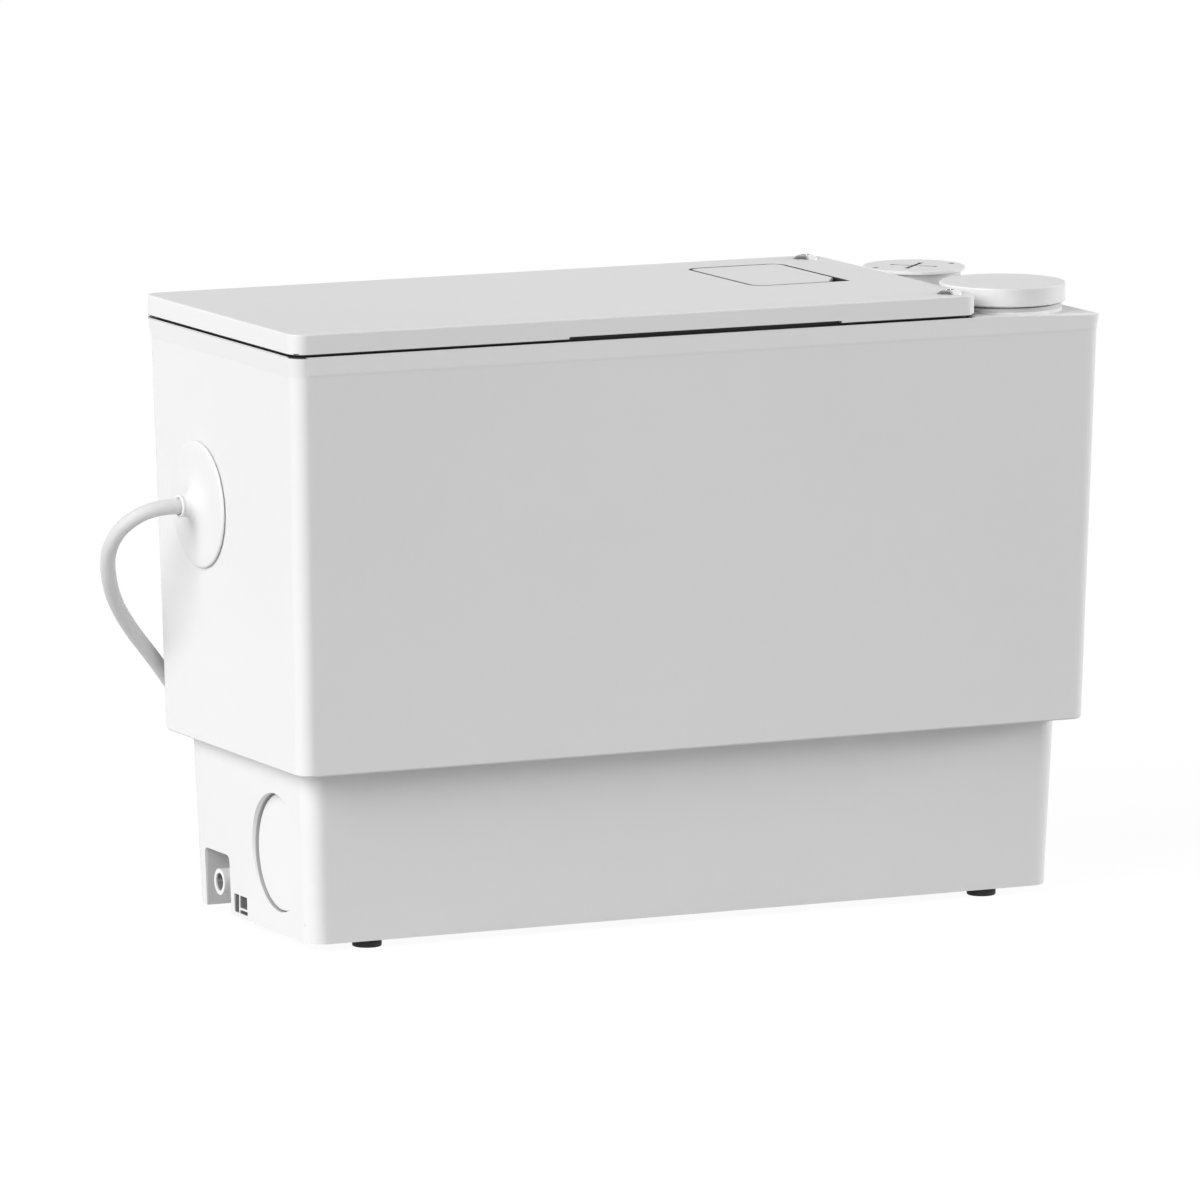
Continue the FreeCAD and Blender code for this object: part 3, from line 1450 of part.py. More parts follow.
def make_valve_flap():
    disc = cylinder(valve_flap_radius, flap_thickness, Vector(riser_x, volute_outlet_y, valve_seat))
    arm_half = valve_ear_offset - 0.4
    ear_room = block(valve_flap_x - 6, valve_flap_x + flap_pin_radius + 2.6, volute_outlet_y - 20,
                     volute_outlet_y + 20, valve_seat - 1, valve_seat + 6)
    arm = block(valve_flap_x, riser_x - valve_flap_radius * 0.6, volute_outlet_y - arm_half,
                volute_outlet_y + arm_half, valve_seat, valve_seat + flap_thickness)
    pin_half = valve_ear_offset + valve_ear_width
    pin = cylinder(flap_pin_radius, 2 * pin_half,
                   Vector(valve_flap_x, volute_outlet_y - pin_half, valve_flap_axis), BACK)
    return fused([disc.cut(ear_room), arm, pin])


def make_discharge_hose():
    points = [
        Vector(riser_x, volute_outlet_y, valve_top), Vector(riser_x, volute_outlet_y, hose_run_height),
        Vector(socket_x, discharge_y, hose_run_height), Vector(socket_x, discharge_y, discharge_cup_floor),
    ]
    return bent_tube(points, hose_bend_radius, hose_outer_radius, hose_bore_radius)


def hose_clamp(base, axis, radius):
    ring = tube(radius + clamp_thickness, radius + 0.03, clamp_width, base, axis)
    across = axis.cross(Vector(0.3, -1, 0.2)).normalize()
    housing_base = base + across * (radius + clamp_thickness * 0.5) + axis * (clamp_width / 2)
    along = axis.cross(across)
    screw_start = housing_base + across * (clamp_screw_radius - 0.2) - along * (clamp_screw_length / 2)
    screw = cylinder(clamp_screw_radius, clamp_screw_length, screw_start, along)
    return ring.fuse(screw.cut(cylinder(radius + 0.03, clamp_width * 3, base - axis * clamp_width, axis)))


def make_hose_clamps():
    valve_place = Vector(riser_x, volute_outlet_y, valve_top + 1.5)
    cup_place = Vector(socket_x, discharge_y, discharge_cup_floor - 1.5 - clamp_width)
    coupling = outlet_outer_radius + coupling_wall
    first = Vector(outlet_end_x - coupling_length + 1, volute_outlet_y, outlet_height)
    return [
        hose_clamp(valve_place, UP, hose_outer_radius),
        hose_clamp(cup_place, UP, hose_outer_radius),
        hose_clamp(first, RIGHT, coupling),
    ]


# Level sensing: the bell stands in the corner between the tank's wall and the pump carrier
bell_y = tank_half_width(bell_base_height) - tank_wall - bell_side_gap - bell_radius
bell_carrier_reach = carrier_radius + bell_ring_gap + bell_flange_radius
bell_x = motor_x - math.sqrt(bell_carrier_reach ** 2 - bell_y ** 2)
control_box_left_x = control_box_inset - cover_half_length
control_box_right_x = bell_x - control_box_hose_room
control_box_rear_y = bell_y + 11.0
control_box_front_y = control_box_rear_y - control_box_width
control_box_base = pump_bay_height
control_box_top = control_box_base + control_box_height
sensor_x = (control_box_left_x + control_box_right_x) / 2
sensor_y = bell_y - 11.0
sensor_base = control_box_base + control_box_wall
bell_top = pump_bay_height + bell_flange_thickness
hose_start_height = bell_top + 2.0
nipple_height = hose_start_height + air_hose_rise


def make_level_bell():
    inner = bell_radius - bell_wall
    bore = bell_nipple_radius - 1.5
    tip = bell_top + bell_nipple_height
    profile = [
        (inner, bell_base_height), (bell_radius, bell_base_height), (bell_radius, pump_bay_height),
        (bell_flange_radius, pump_bay_height), (bell_flange_radius, bell_top),
        (bell_nipple_radius, bell_top), (bell_nipple_radius, tip), (bore, tip), (bore, pump_bay_height),
        (inner, pump_bay_height - 2),
    ]
    return turned(profile, Vector(bell_x, bell_y, 0))


def make_air_hose():
    # Up from the bell, over, and onto the sensor's nipple, which stands out of the box.
    points = [
        Vector(bell_x, bell_y, hose_start_height), Vector(bell_x, bell_y, nipple_height),
        Vector(control_box_right_x, bell_y, nipple_height),
    ]
    return bent_tube(points, air_hose_bend_radius, air_hose_radius, bell_nipple_radius + 0.05)


def make_level_sensor():
    top = nipple_height + air_hose_radius + 4
    base = top - sensor_height
    center = Vector(sensor_x, sensor_y, base)
    body = cylinder(sensor_radius, sensor_height, center)
    nipple_length = control_box_right_x - sensor_x + sensor_nipple_reach
    nipple_base = Vector(sensor_x, bell_y, nipple_height)
    nipple = cylinder(bell_nipple_radius, nipple_length, nipple_base, RIGHT)
    stand_radius = sensor_radius - 4
    stand = tube(stand_radius, stand_radius - sensor_wall, base - sensor_base,
                 Vector(sensor_x, sensor_y, sensor_base))
    chamber_height_inside = sensor_height - 2 * sensor_wall
    cuts = [
        cylinder(sensor_radius - sensor_wall, chamber_height_inside, center + UP * sensor_wall),
        cylinder(bell_nipple_radius - 1.5, nipple_length + 1, nipple_base, RIGHT),
    ]
    return body.fuse([nipple, stand]).cut(cuts).removeSplitter()


# Control box and electrics
motor_lead_height = control_box_top - 8.0
terminal_ways = 5
terminal_pitch = 7.0
terminal_width = 16.0
terminal_height = 15.0


def make_control_box():
    wall = control_box_wall
    outer = rounded_block(control_box_left_x, control_box_right_x, control_box_front_y, control_box_rear_y,
                          control_box_base, control_box_top, 5)
    inner = rounded_block(control_box_left_x + wall, control_box_right_x - wall, control_box_front_y + wall,
                          control_box_rear_y - wall, control_box_base + wall, control_box_top + 1, 3)
    box = outer.cut(inner)
    posts = [cylinder(board_post_radius, board_post_height, Vector(x, control_box_front_y + wall, z), BACK)
             for x, z in board_posts()]
    box = box.fuse(posts)
    cuts = [
        cylinder(gland_neck_radius + deck_hole_play, 24, gland_seat - gland_axis * 26, gland_axis),
        cylinder(bell_nipple_radius + 0.2, 10,
                 Vector(control_box_right_x - 6, bell_y, nipple_height), RIGHT),
        cylinder(lead_radius + 0.1, 10, Vector(control_box_right_x - 6, 0, motor_lead_height), RIGHT),
    ]
    return box.cut(cuts)


def board_posts():
    left = control_box_left_x + board_side_gap + board_post_inset
    right = control_box_right_x - board_side_gap - board_post_inset
    low = control_box_base + board_rise + board_post_inset
    high = low + board_height - 2 * board_post_inset
    return [(x, z) for x in (left, right) for z in (low, high)]


def make_control_cover():
    step = 2.0
    plate = rounded_block(control_box_left_x, control_box_right_x, control_box_front_y, control_box_rear_y,
                          control_box_top, control_box_top + control_cover_thickness, 5)
    inset = control_box_wall + 0.3
    rim = rounded_block(control_box_left_x + inset, control_box_right_x - inset,
                        control_box_front_y + inset, control_box_rear_y - inset,
                        control_box_top - step, control_box_top, 3)
    return plate.fuse(rim).removeSplitter()


def make_control_board():
    left = control_box_left_x + board_side_gap
    right = control_box_right_x - board_side_gap
    front = control_box_front_y + control_box_wall + board_post_height
    back = front + board_thickness
    low = control_box_base + board_rise
    near = left + part_spacing
    far = right - part_spacing
    base = low + 2 * part_spacing
    board = block(left, right, front, back, low, low + board_height)
    relay = block(near, near + relay_width, back, back + relay_depth,
                  low + relay_rise, low + relay_rise + relay_width)
    choke = block(far - choke_width, far, back, back + choke_depth, base, base + choke_height)
    fuse_holder = block(near, near + fuse_length, back, back + fuse_depth, base, base + fuse_height)
    storage = cylinder(storage_radius, storage_depth,
                       Vector(far - choke_width / 2, back, low + relay_rise + relay_width), BACK)
    return [fused([board, relay, choke, fuse_holder, storage]), make_terminal_block()]


def make_terminal_block():
    x0 = control_box_left_x + terminal_side_gap
    y0 = control_box_front_y + terminal_front_gap
    z0 = control_box_base + control_box_wall
    body = block(x0, x0 + terminal_width, y0, y0 + terminal_ways * terminal_pitch, z0, z0 + terminal_height)
    cuts = []
    for index in range(terminal_ways):
        y = y0 + terminal_pitch * (index + 0.5)
        cuts.append(cylinder(2.2, 4, Vector(x0 + terminal_width / 2, y, z0 + terminal_height - 3)))
        cuts.append(cylinder(1.9, terminal_width + 2, Vector(x0 - 1, y, z0 + 5), RIGHT))
    return body.cut(cuts)


def make_capacitor():
    edge = 1.5
    top = pump_bay_height + capacitor_height
    profile = [
        (0, pump_bay_height), (capacitor_radius, pump_bay_height), (capacitor_radius, top - edge),
        (capacitor_radius - edge, top), (0, top),
    ]
    return turned(profile, Vector(capacitor_x, capacitor_y, 0))


def motor_side_gap():
    # Tool that trims a lead's end to the round side of the end cover.
    return cylinder(motor_radius, 3 * end_cover_height, Vector(motor_x, 0, motor_top - end_cover_height))


def make_inner_leads():
    # One lead from the control box to the motor and one from the capacitor to it.
    start = Vector(control_box_right_x - control_box_wall, 0, motor_lead_height)
    reach = motor_x - motor_radius + 3 - start.x
    motor_lead = cylinder(lead_radius, reach, start, RIGHT)
    top = pump_bay_height + capacitor_height
    height = motor_top + end_cover_height / 2
    inward = Vector(motor_x - capacitor_x, -capacitor_y, 0).normalize()
    end = Vector(motor_x, 0, height) - inward * (motor_radius - 3)
    points = [Vector(capacitor_x, capacitor_y, top), Vector(capacitor_x, capacitor_y, height), end]
    capacitor_lead = bent_tube(points, 4 * lead_radius, lead_radius)
    return [lead.cut(motor_side_gap()) for lead in (motor_lead, capacitor_lead)]


# Cable gland in the left wall, turned about the wall's slightly drooping normal
def make_cable_gland():
    tip = gland_nozzle_reach
    flange = gland_flange_thickness
    edge = 0.8

    def at(radius, reach):
        return Vector(radius, 0, reach)

    edges = [
        Part.LineSegment(at(0, -gland_back), at(gland_neck_radius, -gland_back)),
        Part.LineSegment(at(gland_neck_radius, -gland_back), at(gland_neck_radius, 0)),
        Part.LineSegment(at(gland_neck_radius, 0), at(gland_radius, 0)),
        Part.LineSegment(at(gland_radius, 0), at(gland_radius, flange - edge)),
        Part.Arc(at(gland_radius, flange - edge), at(gland_radius - edge * 0.3, flange - edge * 0.3),
                 at(gland_radius - edge, flange)),
        Part.LineSegment(at(gland_radius - edge, flange), at(gland_nozzle_root_radius, flange + 0.4)),
        Part.Arc(at(gland_nozzle_root_radius, flange + 0.4),
                 at(gland_nozzle_tip_radius + 2.6, flange + 2.8), at(gland_nozzle_tip_radius, tip - 1.2)),
        Part.LineSegment(at(gland_nozzle_tip_radius, tip - 1.2), at(gland_nozzle_tip_radius, tip)),
        Part.LineSegment(at(gland_nozzle_tip_radius, tip), at(0, tip)),
        Part.LineSegment(at(0, tip), at(0, -gland_back)),
    ]
    face = Part.Face(Part.Wire([edge_shape.toShape() for edge_shape in edges]))
    gland = face.revolve(Vector(0, 0, 0), UP, 360)
    gland.Placement = FreeCAD.Placement(gland_seat, FreeCAD.Rotation(UP, gland_axis))
    return gland


def make_gland_nut():
    base = gland_seat - gland_axis * (casing_wall + gland_nut_thickness)
    nut = Part.Face(Part.makePolygon([
        Vector(gland_nut_radius * math.cos(math.radians(60 * index)),
               gland_nut_radius * math.sin(math.radians(60 * index)), 0) for index in range(7)]))
    bore = cylinder(gland_neck_radius + 0.05, gland_nut_thickness, Vector(0, 0, 0))
    nut = nut.extrude(UP * gland_nut_thickness).cut(bore)
    nut.Placement = FreeCAD.Placement(base, FreeCAD.Rotation(UP, gland_axis))
    return nut


# Mains lead: one stretch from the gland to the coil, the coil, and a tail to the plug
cord_diameter = 2 * cord_radius
gland_tip = gland_seat + gland_axis * gland_nozzle_reach
coil_start = Vector(coil_x, coil_y - coil_radius, cord_radius)
lead_route = [
    gland_tip, gland_tip + gland_axis * 11.5, Vector(-244.5, 31, 200), Vector(-251.5, 36.5, 192.3),
    Vector(-253.5, 44.5, 181.5), Vector(-250, 54.5, 169), Vector(-241.5, 67, 154.5),
    Vector(-227.5, 80, 138), Vector(-210.5, 91, 121), Vector(-194, 99.5, 101.5),
    Vector(-178, 106, 78.5), Vector(-164, 110.5, 51), Vector(-148, 114.5, 25), Vector(-124, 119, 8.4),
    coil_start - RIGHT * 32, coil_start - RIGHT * cord_diameter,
]


def route_radii(points):
    # As large as the two runs at each point allow.
    radii = []
    for before, corner, after in zip(points, points[1:], points[2:]):
        inward = before - corner
        onward = after - corner
        half_turn = (math.pi - inward.getAngle(onward)) / 2
        radii.append(0.45 * min(inward.Length, onward.Length) / math.tan(half_turn))
    return radii


def make_cord(name, points):
    radii = route_radii(points)
    path = bent_path(points, radii)
    cord = swept(path, cord_radius, points[0], points[1] - points[0])
    expected = math.pi * cord_radius ** 2 * path.Length
    print(name, "length", round(path.Length, 1), "smallest radius", round(min(radii), 1),
          "volume share", round(cord.Volume / expected, 4))
    return cord, path.Length


# The put-away length: a flat two-layer coil on the floor, in at the bottom and out on top of it
def coil_place(turn):
    # Point of the coil after some turns, with the radius and height there.
    climb_from = coil_turns_in
    climb_to = coil_turns_in + 0.5
    inner = coil_radius - coil_pitch * coil_turns_in
    layer = cord_diameter + 0.6
    if turn <= climb_from:
        radius = coil_radius - coil_pitch * turn
        height = 0.0
    elif turn <= climb_to:
        radius = inner
        share = (turn - climb_from) / (climb_to - climb_from)
        height = layer * (1 - math.cos(math.pi * share)) / 2
    else:
        radius = inner + coil_pitch * (turn - climb_to)
        height = layer
    angle = 2 * math.pi * turn - math.pi / 2
    x = coil_x + radius * math.cos(angle)
    y = coil_y + radius * math.sin(angle)
    return Vector(x, y, cord_radius + height)


def coil_direction(turn):
    step = 0.001
    last = coil_turns_in + 0.5 + coil_turns_out
    before = coil_place(max(turn - step, 0))
    after = coil_place(min(turn + step, last))
    ahead = (after - before).normalize()
    if turn in (0, last):
        ahead = RIGHT
    return ahead


def biarc(start, start_direction, end, end_direction):
    # Two tangent arcs from one point and direction to another.
    span = end - start
    both = start_direction + end_direction
    a = 2 * (1 - start_direction.dot(end_direction))
    b = 2 * span.dot(both)
    c = -span.dot(span)
    reach = -c / b if abs(a) < 1e-9 else (-b + math.sqrt(b * b - 4 * a * c)) / (2 * a)
    first_corner = start + start_direction * reach
    second_corner = end - end_direction * reach
    joint = (first_corner + second_corner) * 0.5
    return [arc_on_corner(start, first_corner, joint), arc_on_corner(joint, second_corner, end)]


def arc_on_corner(start, corner, end):
    weight = (end - start).Length / 2 / (corner - start).Length
    middle = (start + corner * (2 * weight) + end) * (1 / (2 + 2 * weight))
    return Part.Arc(start, middle, end).toShape()


def coil_path():
    last = coil_turns_in + 0.5 + coil_turns_out
    count = round(last * 4)
    places = [coil_place(index / 4) for index in range(count + 1)]
    directions = [coil_direction(index / 4) for index in range(count + 1)]
    edges = [Part.LineSegment(places[0] - RIGHT * cord_diameter, places[0]).toShape()]
    for index in range(count):
        edges += biarc(places[index], directions[index], places[index + 1], directions[index + 1])
    edges.append(Part.LineSegment(places[-1], places[-1] + RIGHT * cord_diameter).toShape())
    return Part.Wire(edges)


def least_gap(path):
    # Smallest space between two stretches of the coil that aren't next to each other along it.
    spacing = 2.0
    points = []
    for edge in path.OrderedEdges:
        steps = max(2, int(edge.Length / spacing))
        for index in range(steps):
            share = edge.FirstParameter + (edge.LastParameter - edge.FirstParameter) * index / steps
            points.append(edge.valueAt(share))
    skip = int(2.2 * cord_diameter / spacing) + 1
    nearest = min((points[a] - points[b]).Length
                  for a in range(len(points)) for b in range(a + skip, len(points)))
    return nearest - cord_diameter


def make_coil():
    path = coil_path()
    start = coil_start - RIGHT * cord_diameter
    coil = swept(path, cord_radius, start, RIGHT)
    expected = math.pi * cord_radius ** 2 * path.Length
    print("mains_coil length", round(path.Length, 1), "least gap", round(least_gap(path), 2),
          "volume share", round(coil.Volume / expected, 4))
    return coil, path.Length


# Plug, resting on its face rim and its tail
plug_tilt = math.atan((plug_face_radius - plug_tail_radius) / (plug_body_length + plug_tail_length))
plug_axis = Vector(math.cos(plug_tilt), 0, math.sin(plug_tilt))
plug_entry = Vector(coil_x + plug_coil_reach, coil_y - plug_coil_offset,
                    plug_tail_radius / math.cos(plug_tilt) + 0.05)
coil_end = coil_place(coil_turns_in + 0.5 + coil_turns_out)
tail_route = [
    coil_end + RIGHT * cord_diameter, coil_end + Vector(26, 0, 0), coil_end + Vector(46, -2, -4),
    coil_end + Vector(64, 0.5, -7.4), coil_end + Vector(82, 5.5, -7.6),
    plug_entry - plug_axis * 10, plug_entry,
]


def make_mains_plug():
    total = plug_body_length + plug_tail_length
    edge = 1.5
    profile = [
        (0, 0), (cord_radius + 1.2, 0), (plug_tail_radius, plug_tail_length * 0.5),
        (plug_tail_radius + 1.0, plug_tail_length), (plug_tail_radius + 6, plug_tail_length + 3),
        (plug_face_radius - 2.5, plug_tail_length + 14), (plug_face_radius, plug_tail_length + 18),
        (plug_face_radius, total - edge), (plug_face_radius - edge, total), (0, total),
    ]
    body = turned(profile, Vector(0, 0, 0))
    sides = [block(-30, 30, side * 15.5 - (30 if side < 0 else 0), side * 15.5 + (30 if side > 0 else 0),
                   plug_tail_length + 8, total + 1) for side in (-1, 1)]
    body = body.cut(sides)
    pins = []
    for side in (-1, 1):
        pin = cylinder(plug_pin_radius, plug_pin_length, Vector(side * plug_pin_spacing / 2, 0, total))
        pins.append(pin.makeFillet(1.0, [pin.Edges[0]]))
    plug = fused([body] + pins)
    # Local X lies level across the plug, and its axis follows the tilt.
    turn = FreeCAD.Rotation(BACK, plug_axis.cross(BACK), plug_axis, "ZXY")
    plug.Placement = FreeCAD.Placement(plug_entry, turn)
    return plug


def build():
    lead, lead_length = make_cord("mains_lead", lead_route)
    coil, coil_length = make_coil()
    tail, tail_length = make_cord("mains_tail", tail_route)
    print("whole mains lead", round(lead_length + coil_length + tail_length, 1))
    side_plug, side_seal, side_flap = make_side_plug(), make_side_seal(), make_side_flap()
    return {
        "tank": make_tank(),
        "rubber_feet": make_feet(),
        "tank_gasket": make_tank_gasket(),
        "tank_cover": make_tank_cover(),
        "tank_screws": make_tank_screws(),
        "casing": make_casing(),
        "housing_screws": make_housing_screws(),
        "lid": make_lid(),
        "lid_screw_front": make_lid_screw(-1),
        "lid_screw_rear": make_lid_screw(1),
        "filter_hatch": make_filter_hatch(),
        "filter_cartridge": make_filter_cartridge(),
        "vent_seal": make_vent_seal(),
        "discharge_socket": make_discharge_socket(),
        "discharge_cap": make_discharge_cap(),
        "top_inlet_socket": make_top_inlet_socket(),
        "top_inlet_plug": make_top_inlet_plug(),
        "top_inlet_seal": make_top_inlet_seal(),
        "right_inlet_plug": side_plug,
        "right_inlet_seal": side_seal,
        "right_inlet_flap": side_flap,
        "left_inlet_plug": mirrored(side_plug),
        "left_inlet_seal": mirrored(side_seal),
        "left_inlet_flap": mirrored(side_flap),
        "toilet_inlet_sleeve": make_toilet_sleeve(),
        "pump_carrier": make_pump_carrier(),
        "motor_housing": make_motor_housing(),
        "motor_end_cover": make_end_cover(),
        "stator": make_stator(),
        "lower_bearing": make_bearing(carrier_top - bearing_seat_depth),
        "upper_bearing": make_bearing(motor_top + end_cover_height - motor_wall - bearing_height),
        "rotor_core": make_rotor_core(),
        "motor_shaft": make_shaft(),
        "shaft_seal_seat": make_seal_seat(),
        "shaft_seal_ring": make_seal_ring(),
        "volute": make_volute(),
        "impeller": make_impeller(),
        "cutter_plate": make_cutter_plate(),
        "cutter_knife": make_cutter_knife(),
        "cutter_nut": make_cutter_nut(),
        "discharge_elbow": make_discharge_elbow(),
        "riser_grommet": make_riser_grommet(),
        "non_return_valve_body": make_valve_body(),
        "non_return_flap": make_valve_flap(),
        "discharge_hose": make_discharge_hose(),
        "hose_clamps": make_hose_clamps(),
        "level_bell": make_level_bell(),
        "air_hose": make_air_hose(),
        "level_sensor": make_level_sensor(),
        "control_box": make_control_box(),
        "control_cover": make_control_cover(),
        "control_board": make_control_board(),
        "capacitor": make_capacitor(),
        "inner_leads": make_inner_leads(),
        "cable_gland": make_cable_gland(),
        "gland_nut": make_gland_nut(),
        "mains_lead": lead,
        "mains_coil": coil,
        "mains_tail": tail,
        "mains_plug": make_mains_plug(),
    }


def main():
    os.makedirs("parts", exist_ok=True)
    for node, shape in build().items():
        solids = shape if isinstance(shape, list) else [shape]
        whole = Part.makeCompound([solid for piece in solids for solid in piece.Solids])
        whole.exportStep(os.path.join("parts", node + ".step"))


main()
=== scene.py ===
import bmesh
import bpy
import json
import math
from mathutils import Matrix, Vector


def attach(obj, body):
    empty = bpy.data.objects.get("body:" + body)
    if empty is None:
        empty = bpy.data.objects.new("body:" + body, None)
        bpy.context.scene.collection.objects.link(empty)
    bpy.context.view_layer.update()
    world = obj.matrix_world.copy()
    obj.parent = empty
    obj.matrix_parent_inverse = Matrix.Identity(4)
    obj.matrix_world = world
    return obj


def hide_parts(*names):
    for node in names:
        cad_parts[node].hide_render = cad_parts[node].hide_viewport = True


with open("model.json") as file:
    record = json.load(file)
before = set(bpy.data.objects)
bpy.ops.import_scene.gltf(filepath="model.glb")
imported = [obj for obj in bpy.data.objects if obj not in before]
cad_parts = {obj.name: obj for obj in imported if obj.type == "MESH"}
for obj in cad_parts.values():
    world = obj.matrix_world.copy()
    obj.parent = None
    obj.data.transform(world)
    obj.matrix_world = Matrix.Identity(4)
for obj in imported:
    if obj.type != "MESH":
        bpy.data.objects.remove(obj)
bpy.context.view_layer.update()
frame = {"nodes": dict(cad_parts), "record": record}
scene = bpy.context.scene
mm = 0.001
print("stage: frame loaded,", len(frame["nodes"]), "nodes")


# Small helpers for node trees

def setInputs(tree, node, values):
    # Each value is a fixed one, or the socket that drives the input
    for name, value in values.items():
        if isinstance(value, bpy.types.NodeSocket):
            tree.links.new(value, node.inputs[name])
        else:
            node.inputs[name].default_value = value


def addNode(tree, kind, values=None, **settings):
    node = tree.nodes.new(kind)
    for name, value in settings.items():
        setattr(node, name, value)
    setInputs(tree, node, values or {})
    return node


def calc(tree, operation, *terms, **settings):
    # What one maths node makes of numbers and sockets
    return addNode(tree, "ShaderNodeMath", dict(enumerate(terms)), operation=operation, **settings).outputs[0]


def calcVector(tree, operation, *terms):
    return addNode(tree, "ShaderNodeVectorMath", dict(enumerate(terms)), operation=operation).outputs[0]


def remap(tree, value, low, high, toLow=0.0, toHigh=1.0):
    return addNode(tree, "ShaderNodeMapRange", {
        "Value": value, "From Min": low, "From Max": high, "To Min": toLow, "To Max": toHigh}).outputs["Result"]


def mixTones(tree, share, first, second):
    # A Mix node's colours are its sockets 6 and 7, and the mixed one is its output 2
    return addNode(tree, "ShaderNodeMix", {"Factor": share, 6: first, 7: second}, data_type="RGBA").outputs[2]


def newGroup(name, kind, inputs, outputs):
    # Gives a new node group with the sockets of its inputs and outputs
    group = bpy.data.node_groups.new(name, kind)
    for socketName, socketKind, value in inputs:
        socket = group.interface.new_socket(
            name=socketName, in_out="INPUT", socket_type="NodeSocket" + socketKind)
        if value is not None:
            socket.default_value = value
    for socketName, socketKind in outputs:
        group.interface.new_socket(name=socketName, in_out="OUTPUT", socket_type="NodeSocket" + socketKind)
    return group, group.nodes.new("NodeGroupInput").outputs, group.nodes.new("NodeGroupOutput").inputs


# Shader groups that several finishes share

def makeMouldGrain():
    # Fine spark-eroded texture with a slow waviness, as heights for a bump
    group, given, end = newGroup("mouldGrain", "ShaderNodeTree", [
        ("Vector", "Vector", None), ("Grain Scale", "Float", 1400.0), ("Wave Scale", "Float", 14.0),
        ("Wave Share", "Float", 0.6)], [("Height", "Float")])
    grain = addNode(group, "ShaderNodeTexNoise", {
        "Vector": given["Vector"], "Scale": given["Grain Scale"], "Detail": 3.0, "Roughness": 0.55})
    wave = addNode(group, "ShaderNodeTexNoise", {
        "Vector": given["Vector"], "Scale": given["Wave Scale"], "Detail": 1.0, "Roughness": 0.4})
    height = calc(group, "MULTIPLY_ADD", wave.outputs["Fac"], given["Wave Share"], grain.outputs["Fac"])
    group.links.new(height, end["Height"])
    return group


def makeToneDrift():
    # Slow change between two tones, with fainter small specks on top
    group, given, end = newGroup("toneDrift", "ShaderNodeTree", [
        ("Vector", "Vector", None), ("Tone", "Color", (0.8, 0.8, 0.8, 1)),
        ("Second Tone", "Color", (0.7, 0.7, 0.7, 1)), ("Scale", "Float", 6.0), ("Speck Scale", "Float", 220.0),
        ("Speck Share", "Float", 0.15)], [("Color", "Color")])
    slow = addNode(group, "ShaderNodeTexNoise", {
        "Vector": given["Vector"], "Scale": given["Scale"], "Detail": 4.0, "Roughness": 0.6})
    speck = addNode(group, "ShaderNodeTexNoise", {
        "Vector": given["Vector"], "Scale": given["Speck Scale"], "Detail": 2.0, "Roughness": 0.7})
    level = remap(group, slow.outputs["Fac"], 0.35, 0.65)
    speckLevel = remap(group, speck.outputs["Fac"], 0.55, 0.75)
    both = calc(group, "MULTIPLY_ADD", speckLevel, given["Speck Share"], level, use_clamp=True)
    group.links.new(mixTones(group, both, given["Tone"], given["Second Tone"]), end["Color"])
    return group


def makeRubMarks():
    # Thin streaks where hands and cloths have rubbed, as a mask that rises over a short way past the threshold
    rise = 0.1
    group, given, end = newGroup("rubMarks", "ShaderNodeTree", [
        ("Vector", "Vector", None), ("Scale", "Float", 40.0), ("Stretch", "Vector", (1.0, 1.0, 12.0)),
        ("Threshold", "Float", 0.62)], [("Mask", "Float")])
    streak = addNode(group, "ShaderNodeTexNoise", {
        "Vector": calcVector(group, "MULTIPLY", given["Vector"], given["Stretch"]), "Scale": given["Scale"],
        "Detail": 5.0, "Roughness": 0.65, "Distortion": 0.8})
    upper = calc(group, "ADD", given["Threshold"], rise)
    group.links.new(remap(group, streak.outputs["Fac"], given["Threshold"], upper), end["Mask"])
    return group


def makeShadeBox():
    # 1 inside a box of half sizes about a centre, easing off over a short way outside it
    group, given, end = newGroup("shadeBox", "ShaderNodeTree", [
        ("Vector", "Vector", None), ("Centre", "Vector", (0.0, 0.0, 0.0)),
        ("Half Size", "Vector", (0.01, 0.01, 0.01)), ("Ease", "Float", 0.001)], [("Mask", "Float")])
    offset = calcVector(group, "ABSOLUTE", calcVector(group, "SUBTRACT", given["Vector"], given["Centre"]))
    over = calcVector(group, "SUBTRACT", offset, given["Half Size"])
    parts = addNode(group, "ShaderNodeSeparateXYZ", {"Vector": over}).outputs
    farthest = calc(group, "MAXIMUM", calc(group, "MAXIMUM", parts["X"], parts["Y"]), parts["Z"])
    group.links.new(remap(group, farthest, 0.0, given["Ease"], 1.0, 0.0), end["Mask"])
    return group


mouldGrain = makeMouldGrain()
toneDrift = makeToneDrift()
rubMarks = makeRubMarks()
shadeBox = makeShadeBox()


# Finishes

def newMaterial(name):
    material = bpy.data.materials.new(name)
    material.use_nodes = True
    return material, material.node_tree, material.node_tree.nodes["Principled BSDF"]


def paintLightAndShade(tree, place, colour, boxes):
    # Painted shade: the deep corners, slots and covered ledges of a moulding are coloured darker than its faces,
    # and a box can also paint a face lighter
    for low, high, ease, shade in boxes:
        box = addNode(tree, "ShaderNodeGroup", {
            "Vector": place, "Centre": [(a + b) / 2 * mm for a, b in zip(low, high)],
            "Half Size": [(b - a) / 2 * mm for a, b in zip(low, high)], "Ease": ease * mm}, node_tree=shadeBox)
        colour = mixTones(tree, box.outputs["Mask"], colour, (shade, shade, shade, 1))
    return colour


